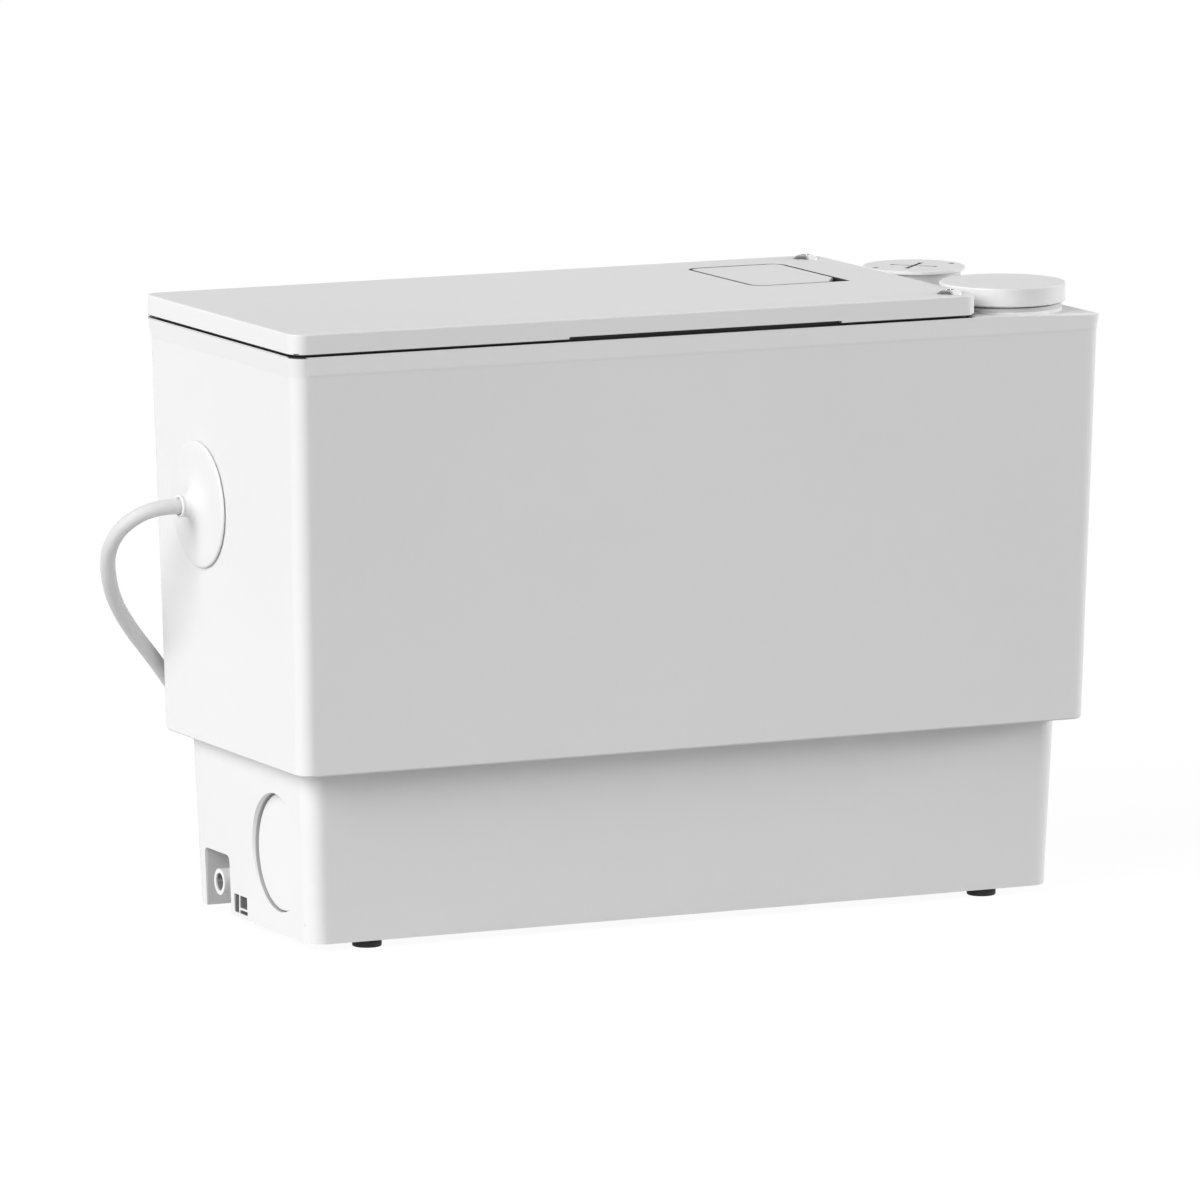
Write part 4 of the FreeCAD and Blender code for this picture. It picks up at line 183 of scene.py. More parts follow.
def makeFinish(name, look):
    material, tree, shader = newMaterial(name)
    place = addNode(tree, "ShaderNodeTexCoord").outputs["Object"]
    tone = addNode(tree, "ShaderNodeGroup", {
        "Vector": place, "Tone": (*look["tone"], 1), "Second Tone": (*look["secondTone"], 1),
        "Scale": look["driftScale"], "Speck Scale": look["speckScale"], "Speck Share": look["speckShare"],
    }, node_tree=toneDrift)
    grain = addNode(tree, "ShaderNodeGroup", {
        "Vector": place, "Grain Scale": look["grainScale"], "Wave Scale": look["waveScale"],
        "Wave Share": look["waveShare"]}, node_tree=mouldGrain)
    marks = addNode(tree, "ShaderNodeGroup", {
        "Vector": place, "Scale": look["markScale"], "Stretch": look["markStretch"],
        "Threshold": look["markThreshold"]}, node_tree=rubMarks)
    bump = addNode(tree, "ShaderNodeBump", {
        "Height": grain.outputs["Height"], "Strength": look["bump"], "Distance": look["bumpDepth"]})
    # The base colour carries the painted shade and painted light of the look's boxes
    setInputs(tree, shader, {
        "Base Color": paintLightAndShade(tree, place, tone.outputs["Color"], look["paintedLightBoxes"]),
        "Roughness": remap(tree, marks.outputs["Mask"], 0.0, 1.0, look["roughness"], look["roughnessRubbed"]),
        "Normal": bump.outputs["Normal"], "Metallic": look["metallic"], "Specular IOR Level": look["specular"]})
    return material


# The white moulded plastic; each other finish is this one with changes
plasticLook = {
    "tone": (0.80, 0.80, 0.80), "secondTone": (0.785, 0.785, 0.783), "driftScale": 5.0,
    "speckScale": 300.0, "speckShare": 0.1, "grainScale": 1500.0, "waveScale": 9.0, "waveShare": 2.0,
    "markScale": 30.0, "markStretch": (1.0, 1.0, 8.0), "markThreshold": 0.66,
    "roughness": 0.42, "roughnessRubbed": 0.34, "bump": 0.12, "bumpDepth": 0.0004,
    "specular": 0.28, "metallic": 0.0, "paintedLightBoxes": (),
}

# Boxes in millimetres (low corner, high corner, easing, tone) that lie just under the outer faces; they paint shade
# into the colour, and the casing's band paints light
casingPaintedLightAndShade = [
    ((-208.0, -91.0, 280.6), (216.5, -80.0, 289.4), 0.8, 0.87),  # painted light: the front's flared band lighter than the rest, as if lit from below
    ((-215.5, -89.5, 288.5), (143.4, 89.5, 289.6), 0.2, 0.05),  # painted shade on the rim under the lid
    ((143.0, -84.0, 288.5), (146.6, 84.0, 289.6), 0.2, 0.05),  # and painted shade between the lid's rounded corners
]
lidPaintedShade = [
    ((-214.0, -88.0, 288.0), (145.0, 88.0, 290.6), 0.5, 0.05),  # painted shade on the underside
    ((-72.2, -90.5, 289.0), (72.2, -88.9, 291.2), 0.25, 0.04),  # painted shade in the finger slot in the front edge
    ((63.0, -13.4, 296.5), (115.4, 65.6, 299.9), 0.08, 0.04),  # painted shade in the gap round the hatch
    ((-217.0, -91.0, 289.6), (148.0, 91.0, 290.35), 0.08, 0.06),  # painted shade along the lower edge all round
]
# Painted shade on the hatch's rounded lower edge, drawn as the dark gap line round it
hatchPaintedShade = [((60.0, -20.0, 298.5), (120.0, 70.0, 299.965), 0.025, 0.04)]
plugPaintedShade = [((166.5, 30.5, 296.9), (189.5, 53.5, 298.1), 0.08, 0.06)]  # painted shade in the crossed slot
plugPaintedShade += [((x, 40.2, 297.2), (x + 3.6, 43.8, 298.1), 0.08, 0.1) for x in (155.2, 197.2)]  # painted shade in the dimples
screwPaintedShade = []
for middle in (-78.3, 78.3):
    screwPaintedShade += [
        ((128.0, middle - 8, 296.0), (134.0, middle + 8, 301.0), 2.0, 0.16),  # painted shade on the left side of the head
        ((134.2, middle - 2.3, 297.0), (138.8, middle + 2.3, 301.3), 0.3, 0.03),  # painted shade in the driver recess
        ((141.4, middle - 3, 297.0), (144.0, middle + 1, 300.9), 0.3, 0.02),  # painted shadow at the far edge of the seat
    ]
leftEndPaintedShade = [
    ((-197.5, 25.0, 0.0), (-150.0, 56.0, 33.4), 0.5, 0.60),  # painted shade in the fixing pocket
    ((-199.0, 34.2, 10.6), (-184.0, 48.2, 24.6), 0.3, 0.80),  # its boss, kept at the plain tone inside the pocket's painted shade
    ((-197.0, 37.0, 13.4), (-170.0, 45.4, 21.8), 0.3, 0.25),  # painted shade in the boss's hole
    ((-197.8, 5.8, 5.6), (-150.0, 22.2, 15.8), 0.4, 0.25),  # painted shade in the cored window
    ((-198.2, -61.4, 12.2), (-168.0, -0.8, 74.6), 0.3, 0.42),  # painted shade in the gap round the side plug
]


def mirrored(box):
    # The same box at the tank's other end
    (lowX, *lowRest), (highX, *highRest), ease, shade = box
    return (-highX, *lowRest), (-lowX, *highRest), ease, shade


tankPaintedShade = [box for left in leftEndPaintedShade for box in (left, mirrored(left))]

finishChanges = {
    "shellWhite": {},
    "casingWhite": {"paintedLightBoxes": casingPaintedLightAndShade},
    "lidWhite": {"paintedLightBoxes": lidPaintedShade},
    "tankWhite": {"paintedLightBoxes": tankPaintedShade},
    "hatchWhite": {"paintedLightBoxes": hatchPaintedShade},
    "plugWhite": {"paintedLightBoxes": plugPaintedShade},
    "socketGrey": {"tone": (0.60, 0.60, 0.60), "secondTone": (0.57, 0.57, 0.57), "roughness": 0.5},
    "innerGrey": {
        "tone": (0.34, 0.35, 0.36), "secondTone": (0.29, 0.30, 0.31), "driftScale": 9.0, "roughness": 0.5,
        "roughnessRubbed": 0.38, "bump": 0.2},
    "hoseRubber": {
        "tone": (0.022, 0.022, 0.023), "secondTone": (0.045, 0.044, 0.042), "driftScale": 14.0,
        "speckScale": 500.0, "speckShare": 0.3, "roughness": 0.62, "roughnessRubbed": 0.42, "bump": 0.35},
    "cordSheath": {
        "tone": (0.71, 0.71, 0.71), "secondTone": (0.67, 0.67, 0.67), "driftScale": 18.0,
        "grainScale": 2200.0, "roughness": 0.5, "roughnessRubbed": 0.4, "bump": 0.2},
    "stainless": {
        "tone": (0.62, 0.62, 0.61), "secondTone": (0.50, 0.50, 0.50), "driftScale": 60.0,
        "markScale": 160.0, "markStretch": (1.0, 1.0, 20.0), "markThreshold": 0.5, "roughness": 0.28,
        "roughnessRubbed": 0.4, "bump": 0.15, "metallic": 1.0},
    "brightSteel": {
        "tone": (0.86, 0.86, 0.85), "secondTone": (0.78, 0.78, 0.77), "driftScale": 90.0, "markScale": 220.0,
        "markThreshold": 0.55, "roughness": 0.2, "roughnessRubbed": 0.32, "bump": 0.05, "metallic": 1.0,
        "paintedLightBoxes": screwPaintedShade},
    "castAluminium": {
        "tone": (0.60, 0.61, 0.62), "secondTone": (0.48, 0.49, 0.50), "driftScale": 25.0, "speckScale": 160.0,
        "speckShare": 0.35, "grainScale": 420.0, "waveScale": 60.0, "waveShare": 1.0, "roughness": 0.55,
        "roughnessRubbed": 0.4, "bump": 0.45, "metallic": 0.9},
    "varnishedIron": {
        "tone": (0.17, 0.11, 0.07), "secondTone": (0.26, 0.15, 0.08), "driftScale": 40.0,
        "markStretch": (0.05, 0.05, 30.0), "markScale": 60.0, "markThreshold": 0.45, "roughness": 0.45,
        "roughnessRubbed": 0.25, "bump": 0.3, "metallic": 0.6},
    "filledNylon": {
        "tone": (0.035, 0.036, 0.038), "secondTone": (0.06, 0.06, 0.06), "driftScale": 30.0,
        "roughness": 0.48, "roughnessRubbed": 0.35, "bump": 0.3},
    "sealCeramic": {
        "tone": (0.72, 0.70, 0.66), "secondTone": (0.66, 0.64, 0.60), "roughness": 0.2,
        "roughnessRubbed": 0.12, "bump": 0.05},
    "boardLacquer": {
        "tone": (0.02, 0.13, 0.05), "secondTone": (0.03, 0.18, 0.07), "driftScale": 120.0,
        "speckScale": 600.0, "speckShare": 0.5, "roughness": 0.3, "roughnessRubbed": 0.22, "bump": 0.25},
    "charcoalFoam": {
        "tone": (0.02, 0.02, 0.02), "secondTone": (0.06, 0.06, 0.058), "driftScale": 200.0,
        "speckScale": 900.0, "speckShare": 0.8, "grainScale": 700.0, "roughness": 0.85,
        "roughnessRubbed": 0.7, "bump": 0.9, "bumpDepth": 0.0008},
}
finishes = {name: makeFinish(name, {**plasticLook, **changes}) for name, changes in finishChanges.items()}
finishOfSlot = {
    "white_shell": "shellWhite", "grey_plastic": "innerGrey", "black_rubber": "hoseRubber",
    "grey_cord": "cordSheath", "steel": "stainless", "cast_aluminium": "castAluminium",
    "motor_iron": "varnishedIron", "impeller_plastic": "filledNylon", "seal_face": "sealCeramic",
    "board_green": "boardLacquer", "filter_foam": "charcoalFoam",
}
finishOfNode = {
    "casing": "casingWhite", "lid": "lidWhite", "tank": "tankWhite", "filter_hatch": "hatchWhite",
    "top_inlet_plug": "plugWhite", "discharge_socket": "socketGrey", "top_inlet_socket": "socketGrey",
}
slotOfNode = {row["node"]: row["material_slot"] for row in frame["record"]["subparts"]}
for nodeName, nodeObject in frame["nodes"].items():
    nodeObject.data.materials.clear()
    nodeObject.data.materials.append(finishes[finishOfNode.get(nodeName, finishOfSlot[slotOfNode[nodeName]])])
print("stage: finishes on the carried-over pieces")


# Helpers for meshes

def meshObject(name, mesh, finish):
    mesh.materials.clear()
    mesh.materials.append(finishes[finish])
    piece = bpy.data.objects.new(name, mesh)
    scene.collection.objects.link(piece)
    return piece


def softShade(form, angle=32):
    # Smooth faces, with a crisp edge wherever two of them meet at more than the angle in degrees
    for face in form.faces:
        face.smooth = True
    for edge in form.edges:
        if len(edge.link_faces) == 2 and edge.calc_face_angle(0) > math.radians(angle):
            edge.smooth = False


def ringRadius(radius, lobes, angle):
    # A plain round, or the six-lobed outline of a driver recess
    return radius * (1 + lobes * math.cos(6 * angle))


def turnedForm(profile, steps=96):
    # A closed shape turned about Z from (radius, height) points in millimetres, with an optional lobe share
    form = bmesh.new()
    rings = []
    for radius, height, *rest in profile:
        lobes = rest[0] if rest else 0
        if radius == 0:
            rings.append([form.verts.new((0, 0, height * mm))])
            continue
        ring = []
        for step in range(steps):
            angle = 2 * math.pi * step / steps
            reach = ringRadius(radius, lobes, angle) * mm
            ring.append(form.verts.new((reach * math.cos(angle), reach * math.sin(angle), height * mm)))
        rings.append(ring)
    pairs = list(zip(rings, rings[1:]))
    if len(rings[0]) > 1 and len(rings[-1]) > 1:
        pairs.append((rings[-1], rings[0]))
    for low, high in pairs:
        for step in range(steps):
            following = (step + 1) % steps
            corners = [low[step % len(low)], low[following % len(low)],
                       high[following % len(high)], high[step % len(high)]]
            unique = list(dict.fromkeys(corners))
            if len(unique) > 2:
                form.faces.new(unique)
    bmesh.ops.recalc_face_normals(form, faces=form.faces)
    return form


def eased(points, share=0.25, rounds=2):
    # Cuts the corners of an open outline again and again until it runs smoothly
    for _ in range(rounds):
        smooth = [points[0]]
        for before, after in zip(points, points[1:]):
            smooth.append(tuple(a + (b - a) * share for a, b in zip(before, after)))
            smooth.append(tuple(b + (a - b) * share for a, b in zip(before, after)))
        points = smooth + [points[-1]]
    return points


def setAt(form, place, axis):
    # Moves a form from the origin and Z to a place in millimetres and an axis
    turn = axis.to_track_quat("Z", "Y").to_matrix().to_4x4()
    form.transform(Matrix.Translation(place * mm) @ turn)


def addForm(whole, form, place):
    # Puts one form into another, through a matrix in metres
    part = bpy.data.meshes.new("part")
    form.to_mesh(part)
    form.free()
    part.transform(place)
    whole.from_mesh(part)
    bpy.data.meshes.remove(part)


def finishForm(name, form, finish, angle=32):
    softShade(form, angle)
    mesh = bpy.data.meshes.new(name)
    form.to_mesh(mesh)
    form.free()
    return meshObject(name, mesh, finish)


# Cable gland: a domed disc on the left wall with a trumpet-shaped nozzle

gland = {
    "seat": (-212.608, 28.3, 204.6), "droop": 1.42, "discRadius": 30.6, "discThickness": 2.0,
    "gapDepth": 2.4, "gapWidth": 0.7, "edge": 0.8, "rootRadius": 15.0, "tipRadius": 5.1, "reach": 11.4,
    "lip": 0.45, "boreRadius": 3.95, "boreDepth": 6.0, "neckRadius": 11.0, "neckDepth": 17.0, "steps": 128,
}
glandAxis = Vector((-math.cos(math.radians(gland["droop"])), 0, -math.sin(math.radians(gland["droop"]))))
glandSeat = Vector(gland["seat"])


def makeGland(size):
    disc, thick, edge, tip = size["discRadius"], size["discThickness"], size["edge"], size["reach"]
    bore, lip = size["boreRadius"], size["lip"]
    root, nozzle, neck, groove = size["rootRadius"], size["tipRadius"], size["neckRadius"], disc - size["gapDepth"]
    trumpet = eased([
        (root + 9, thick), (root, thick + 0.25), (nozzle + 4.6, thick + 1.4), (nozzle + 1.1, thick + 3.8),
        (nozzle, tip - 2.4), (nozzle, tip - 1.3),
    ], rounds=3)
    edgeLine = eased([
        (disc, size["gapWidth"]), (disc, thick - edge), (disc - edge * 0.35, thick - edge * 0.3),
        (disc - edge * 1.6, thick),
    ])
    rolledLip = eased([
        (nozzle, tip - 1.25), (nozzle + lip, tip - 1.1), (nozzle + lip, tip - 0.3), (nozzle, tip),
        (bore + 0.35, tip), (bore, tip - 0.7),
    ])
    profile = [(0, -size["neckDepth"]), (neck, -size["neckDepth"]), (neck, 0.0), (groove, 0.0)]
    profile += [(groove, size["gapWidth"])] + edgeLine + trumpet + rolledLip
    profile += [(bore, tip - size["boreDepth"]), (0, tip - size["boreDepth"])]
    form = turnedForm(profile, size["steps"])
    setAt(form, glandSeat, glandAxis)
    return finishForm("glandTrumpet", form, "shellWhite", angle=40)


glandPiece = makeGland(gland)
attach(glandPiece, "base")
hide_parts("cable_gland")
print("stage: cable gland")


# Mains lead: one line from the gland, down behind the unit, round the coil and out to the plug

lead = {
    "diameter": 7.4, "length": 1.45, "startInside": 2.0,
    "coilCentre": (-62.0, 172.0), "coilRadius": 51.0, "coilPitch": 9.2, "floorHeight": 3.7,
    "turnsIn": 2.0, "turnsUp": 0.5, "turnsOut": 1.5, "pointsPerTurn": 16, "layerRise": 8.0,
    "straightOut": 11.0, "coilLeadIn": 32.0, "intoPlug": 2.0, "beforePlug": 10.0,
}
glandTip = glandSeat + glandAxis * gland["reach"]
leadDown = [
    (-243.6, 30.6, 201.2), (-251.4, 36.6, 193.8), (-253.3, 46.4, 182.2), (-249.8, 54.8, 169.6),
    (-241.5, 67, 154.5), (-227.5, 80, 138), (-210.5, 91, 121), (-194, 99.5, 101.5), (-178, 106, 78.5),
    (-164, 110.5, 51), (-148, 114.5, 25), (-124, 119, 8.4),
]
tailSteps = [(7.4, 0, 0), (26, 0, 0), (46, -2, -4), (64, 0.5, -7.4), (82, 5.5, -7.6)]  # from the coil's end
plug = {
    "entry": (46, 136), "faceRadius": 18.5, "bodyLength": 34.0, "tailLength": 22.0, "tailRadius": 6.5,
    "flat": 15.5, "clearance": 1.3, "pinRadius": 2.4, "pinLength": 19.0, "pinSpacing": 19.0, "pinWaist": 0.12,
    "pinSleeve": 9.0, "slotStart": 3.0, "slotEnd": 2.0, "slotDepth": 0.55, "slotPitch": 3.4, "slotSteps": 26,
    "gripStart": 13.0, "gripEnd": 5.0, "gripWidth": 0.55,
    "grooveDepth": 0.7, "groovePitch": 2.7, "wallEnd": 1.5, "stations": 90, "steps": 72,
    "shape": [(0, 4.9), (4, 5.6), (11, 6.5), (20, 7.2), (24, 10.6), (29, 13.6), (36, 16.0), (41, 18.2),
              (46, 18.5), (56, 18.5)],  # distance from the cord end, outer radius
    "face": [(0.9, 0.15), (0.3, 0.7), (0.0, 1.5), (0.0, 4.0), (0.8, 4.4), (0.8, 16.5)],  # back and inwards
}
plugTotal = plug["tailLength"] + plug["bodyLength"]
plugTilt = math.atan((plug["faceRadius"] - plug["tailRadius"]) / plugTotal)
plugAxis = Vector((math.cos(plugTilt), 0, math.sin(plugTilt)))
plugEntry = Vector((*plug["entry"], plug["tailRadius"] / math.cos(plugTilt) + plug["clearance"]))


def coilPlace(turn):
    # Two layers: inwards on the floor, up to the second one, and outwards on top
    climbEnd = lead["turnsIn"] + lead["turnsUp"]
    inner = lead["coilRadius"] - lead["coilPitch"] * lead["turnsIn"]
    if turn <= lead["turnsIn"]:
        radius, rise = lead["coilRadius"] - lead["coilPitch"] * turn, 0.0
    elif turn <= climbEnd:
        climbed = (turn - lead["turnsIn"]) / lead["turnsUp"]
        radius, rise = inner, lead["layerRise"] * (1 - math.cos(math.pi * climbed)) / 2
    else:
        radius, rise = inner + lead["coilPitch"] * (turn - climbEnd), lead["layerRise"]
    angle = 2 * math.pi * turn - math.pi / 2
    x, y = lead["coilCentre"]
    return Vector((x + radius * math.cos(angle), y + radius * math.sin(angle), lead["floorHeight"] + rise))


def leadPoints():
    turns = lead["turnsIn"] + lead["turnsUp"] + lead["turnsOut"]
    count = round(turns * lead["pointsPerTurn"])
    coilStart, coilEnd = coilPlace(0), coilPlace(turns)
    points = [glandTip - glandAxis * lead["startInside"], glandTip, glandTip + glandAxis * lead["straightOut"]]
    points += [Vector(place) for place in leadDown]
    points += [coilStart - Vector((lead["coilLeadIn"], 0, 0)), coilStart - Vector((lead["diameter"], 0, 0))]
    points += [coilPlace(index / lead["pointsPerTurn"]) for index in range(count + 1)]
    points += [coilEnd + Vector(step) for step in tailSteps]
    points += [plugEntry - plugAxis * lead["beforePlug"], plugEntry, plugEntry + plugAxis * lead["intoPlug"]]
    return points


def makeLead():
    points = leadPoints()
    curve = bpy.data.curves.new("mainsLead", "CURVE")
    curve.dimensions = "3D"
    curve.bevel_depth = lead["diameter"] / 2 * mm
    curve.bevel_resolution = 7
    curve.resolution_u = 8
    curve.use_fill_caps = True
    spline = curve.splines.new("NURBS")
    spline.points.add(len(points) - 1)
    for point, place in zip(spline.points, points):
        point.co = (*(place * mm), 1)
    spline.order_u = 3
    spline.use_endpoint_u = True
    curve.materials.append(finishes["cordSheath"])
    piece = bpy.data.objects.new("mainsLeadCord", curve)
    scene.collection.objects.link(piece)
    return piece, points[0] * mm


def plugRadius(along):
    # Outer radius of the moulded plug at a distance from the cord end, half eased between the marks
    for (a, low), (b, high) in zip(plug["shape"], plug["shape"][1:]):
        if along <= b:
            share = (along - a) / (b - a)
            return low + (high - low) * (share * share * (3 - 2 * share) * 0.5 + share * 0.5)
    return plug["shape"][-1][1]


def placePlug(form):
    # Local X lies level across the plug, and its axis follows the tilt
    level = Vector((0, 1, 0))
    third = plugAxis.cross(level)
    turn = Matrix((level, third, plugAxis)).transposed().to_4x4()
    form.transform(Matrix.Translation(plugEntry * mm) @ turn)


def grooveShare(place, pitch):
    # 1 at the middle of a groove and 0 between grooves
    return max(0, math.sin(place * 2 * math.pi / pitch))


def makePlug():
    form = bmesh.new()
    rings = []
    outline = []
    for station in range(plug["stations"] + 1):
        along = (plugTotal - plug["wallEnd"]) * station / plug["stations"]
        outline.append((along, plugRadius(along), along))
    outline += [(plugTotal - back, plug["faceRadius"] - inwards, plugTotal) for back, inwards in plug["face"]]
    halfRing = plug["steps"] // 2
    for along, radius, place in outline:
        ring = []
        slotted = plug["slotStart"] < place < plug["tailLength"] - plug["slotEnd"]
        gripped = plug["tailLength"] + plug["gripStart"] < place < plugTotal - plug["gripEnd"]
        for step in range(plug["steps"]):
            angle = 2 * math.pi * step / plug["steps"]
            reach = radius
            if slotted and step % halfRing < plug["slotSteps"]:  # bend slots of the strain relief
                reach -= plug["slotDepth"] * grooveShare(place, plug["slotPitch"])
            if gripped and abs(math.cos(angle)) < plug["gripWidth"]:
                reach -= plug["grooveDepth"] * grooveShare(place - plugTotal, plug["groovePitch"])
            across = min(max(reach * math.sin(angle), -plug["flat"]), plug["flat"])
            ring.append(form.verts.new((reach * math.cos(angle) * mm, across * mm, along * mm)))
        rings.append(ring)
    for low, high in zip(rings, rings[1:]):
        for step in range(plug["steps"]):
            following = (step + 1) % plug["steps"]
            form.faces.new([low[step], low[following], high[following], high[step]])
    form.faces.new(rings[0])
    form.faces.new(rings[-1])
    bmesh.ops.recalc_face_normals(form, faces=form.faces)
    placePlug(form)
    return finishForm("plugBody", form, "cordSheath", angle=28)


def makePins():
    # Two round pins, sleeved at the root and domed at the tip
    radius, length, sleeve = plug["pinRadius"], plug["pinLength"], plug["pinSleeve"]
    bare = radius - plug["pinWaist"]
    profile = [(0, -1.5), (radius, -1.5), (radius, sleeve), (bare, sleeve + 0.3), (bare, length - 1.6)]
    profile += eased([(bare, length - 1.5), (radius - 0.2, length - 0.3), (radius - 1.1, length), (0, length)])
    whole = bmesh.new()
    for side in (-1, 1):
        place = Vector((side * plug["pinSpacing"] / 2, 0, plugTotal))
        addForm(whole, turnedForm(profile, steps=40), Matrix.Translation(place * mm))
    placePlug(whole)
    return finishForm("plugPins", whole, "stainless", angle=40)


leadPiece, leadExit = makeLead()
plugPiece, pinPiece = makePlug(), makePins()
for piece in (leadPiece, plugPiece, pinPiece):
    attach(piece, "base")
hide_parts("mains_lead", "mains_coil", "mains_tail")
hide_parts("mains_plug")
print("stage: mains lead and plug")


# Node trees that set pieces out, and a way to run one and keep its plain mesh

def newTree(name, inputs):
    return newGroup(name, "GeometryNodeTree", inputs, [("Geometry", "Geometry")])


def setAlong(tree, points, piece, facing, axis, turnAxis, angle):
    # Sets a piece on points, its axis along the facing, and turns each about an axis of its own
    align = addNode(tree, "FunctionNodeAlignRotationToVector", {"Vector": facing}, axis=axis)
    turn = addNode(tree, "FunctionNodeAxisAngleToRotation", {"Axis": turnAxis, "Angle": angle})
    rotate = addNode(tree, "FunctionNodeRotateRotation", {
        "Rotation": align.outputs["Rotation"], "Rotate By": turn.outputs["Rotation"]}, rotation_space="LOCAL")
    return addNode(tree, "GeometryNodeInstanceOnPoints", {
        "Points": points, "Instance": piece, "Rotation": rotate.outputs["Rotation"]}).outputs["Instances"]


def endTree(tree, end, shape, finish):
    real = addNode(tree, "GeometryNodeRealizeInstances", {"Geometry": shape})
    coat = addNode(tree, "GeometryNodeSetMaterial", {"Geometry": real.outputs["Geometry"], "Material": finish})
    tree.links.new(coat.outputs["Geometry"], end["Geometry"])
    return tree


def grownMesh(name, tree, base, values):
    # Runs a tree on a base mesh and keeps the result
    carrier = bpy.data.objects.new(name, base)
    scene.collection.objects.link(carrier)
    modifier = carrier.modifiers.new(name, "NODES")
    modifier.node_group = tree
    for item in tree.interface.items_tree:
        if item.item_type == "SOCKET" and item.in_out == "INPUT" and item.name in values:
            modifier[item.identifier] = values[item.name]
    graph = bpy.context.evaluated_depsgraph_get()
    mesh = bpy.data.meshes.new_from_object(
        carrier.evaluated_get(graph), preserve_all_data_layers=True, depsgraph=graph)
    carrier.modifiers.remove(modifier)
    bpy.data.objects.remove(carrier)
    return mesh


def makeSetTree():
    # One piece on every point, along the point's facing, each turned by a chance angle of its own
    tree, given, end = newTree("setOnPoints", [
        ("Geometry", "Geometry", None), ("Piece", "Object", None), ("Most Turn", "Float", 2 * math.pi),
        ("Turn Seed", "Int", 3), ("Finish", "Material", None)])
    largest, drawn = 3, 1  # a Random Value node's sockets for the upper limit and the result
    piece = addNode(tree, "GeometryNodeObjectInfo", {"Object": given["Piece"], "As Instance": True})
    facing = addNode(tree, "GeometryNodeInputNamedAttribute", {"Name": "facing"}, data_type="FLOAT_VECTOR")
    chance = addNode(tree, "FunctionNodeRandomValue", {
        largest: given["Most Turn"], "Seed": given["Turn Seed"]}, data_type="FLOAT")
    placed = setAlong(tree, given["Geometry"], piece.outputs["Geometry"], facing.outputs["Attribute"],
                      "Z", (0, 0, 1), chance.outputs[drawn])
    return endTree(tree, end, placed, given["Finish"])


setOnPoints = makeSetTree()


def setPieces(name, form, places, facings, finish, mostTurn=2 * math.pi, turnSeed=3):
    softShade(form)
    single = bpy.data.meshes.new(name + "Single")
    form.to_mesh(single)
    form.free()
    pattern = bpy.data.objects.new(name + "Pattern", single)
    scene.collection.objects.link(pattern)
    points = bpy.data.meshes.new(name + "Points")
    points.from_pydata([Vector(place) * mm for place in places], [], [])
    facing = points.attributes.new("facing", "FLOAT_VECTOR", "POINT")
    for value, direction in zip(facing.data, facings):
        value.vector = direction
    mesh = grownMesh(name, setOnPoints, points, {
        "Piece": pattern, "Most Turn": mostTurn, "Turn Seed": turnSeed, "Finish": finishes[finish]})
    bpy.data.objects.remove(pattern)
    return mesh


# Screws: round heads with a six-lobed recess and rolled threads

screw = {
    "shank": 2.0, "root": 1.65, "pitch": 1.25, "tipLength": 1.6, "head": 3.4, "headHeight": 2.6,
    "recess": 1.5, "lobes": 0.13, "recessDepth": 1.5, "steps": 36,
    "tankSeat": 102.0, "tankLength": 12.5, "tankX": (-176.02, -88.01, 0.0, 88.01, 176.02), "wallY": 75.68,
    "longLength": 20.0, "casingSeat": 92.0, "casingX": 132.01,
    "carrierSeat": 159.0, "carrierX": -70.0, "carrierReach": 60.0, "carrierCount": 6,
}


def threadPoints(shank, root, low, high, pitch):
    # A whole number of turns between two heights, each falling to the thread's root and back
    turns = max(1, round((high - low) / pitch))
    points = []
    for index in range(turns):
        z = low + (high - low) * index / turns
        points += [(shank, z), (root, z + (high - low) / turns * 0.55)]
    return points + [(shank, high)]


def makeScrewForm(size, length):
    head, tall, recess = size["head"], size["headHeight"], size["recess"]
    floor = tall - size["recessDepth"]
    profile = [(0, -length), (size["shank"] * 0.55, -length)]
    profile += threadPoints(size["shank"], size["root"], -length + size["tipLength"], -1.0, size["pitch"])
    profile += [(size["shank"], 0.0), (head - 0.15, 0.0)]
    profile += eased([
        (head - 0.15, 0.0), (head, 0.12), (head, 0.9), (head * 0.86, tall * 0.86), (recess * 1.2, tall),
    ])[1:]
    profile += [(recess, tall - 0.08, size["lobes"]), (recess, floor, size["lobes"]),
                (recess * 0.5, floor - 0.2), (0, floor - 0.25)]
    return turnedForm(profile, size["steps"])


def makeScrews(size):
    # Heads point up on the tank's rim and round the pump carrier, and down on the casing's four
    upward, downward = Vector((0, 0, 1)), Vector((0, 0, -1))
    rim = [(x, side * size["wallY"], size["tankSeat"]) for side in (-1, 1) for x in size["tankX"]]
    tankMesh = setPieces(
        "tankScrewSet", makeScrewForm(size, size["tankLength"]), rim, [upward] * len(rim), "stainless")
    places = [(x, side * size["wallY"], size["casingSeat"])
              for x in (-size["casingX"], size["casingX"]) for side in (-1, 1)]
    facings = [downward] * len(places)
    for index in range(size["carrierCount"]):
        angle = 2 * math.pi * (index + 0.5) / size["carrierCount"]
        places.append((size["carrierX"] + size["carrierReach"] * math.cos(angle),
                       size["carrierReach"] * math.sin(angle), size["carrierSeat"]))
        facings.append(upward)
    longMesh = setPieces(
        "housingScrewSet", makeScrewForm(size, size["longLength"]), places, facings, "stainless", turnSeed=8)
    return meshObject("tankScrewSet", tankMesh, "stainless"), meshObject("housingScrewSet", longMesh, "stainless")


tankScrews, housingScrews = makeScrews(screw)
for piece, node in ((tankScrews, "tank_screws"), (housingScrews, "housing_screws")):
    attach(piece, "base")
    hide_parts(node)


# Lid screws: raised heads sunk in the lid's dished seats

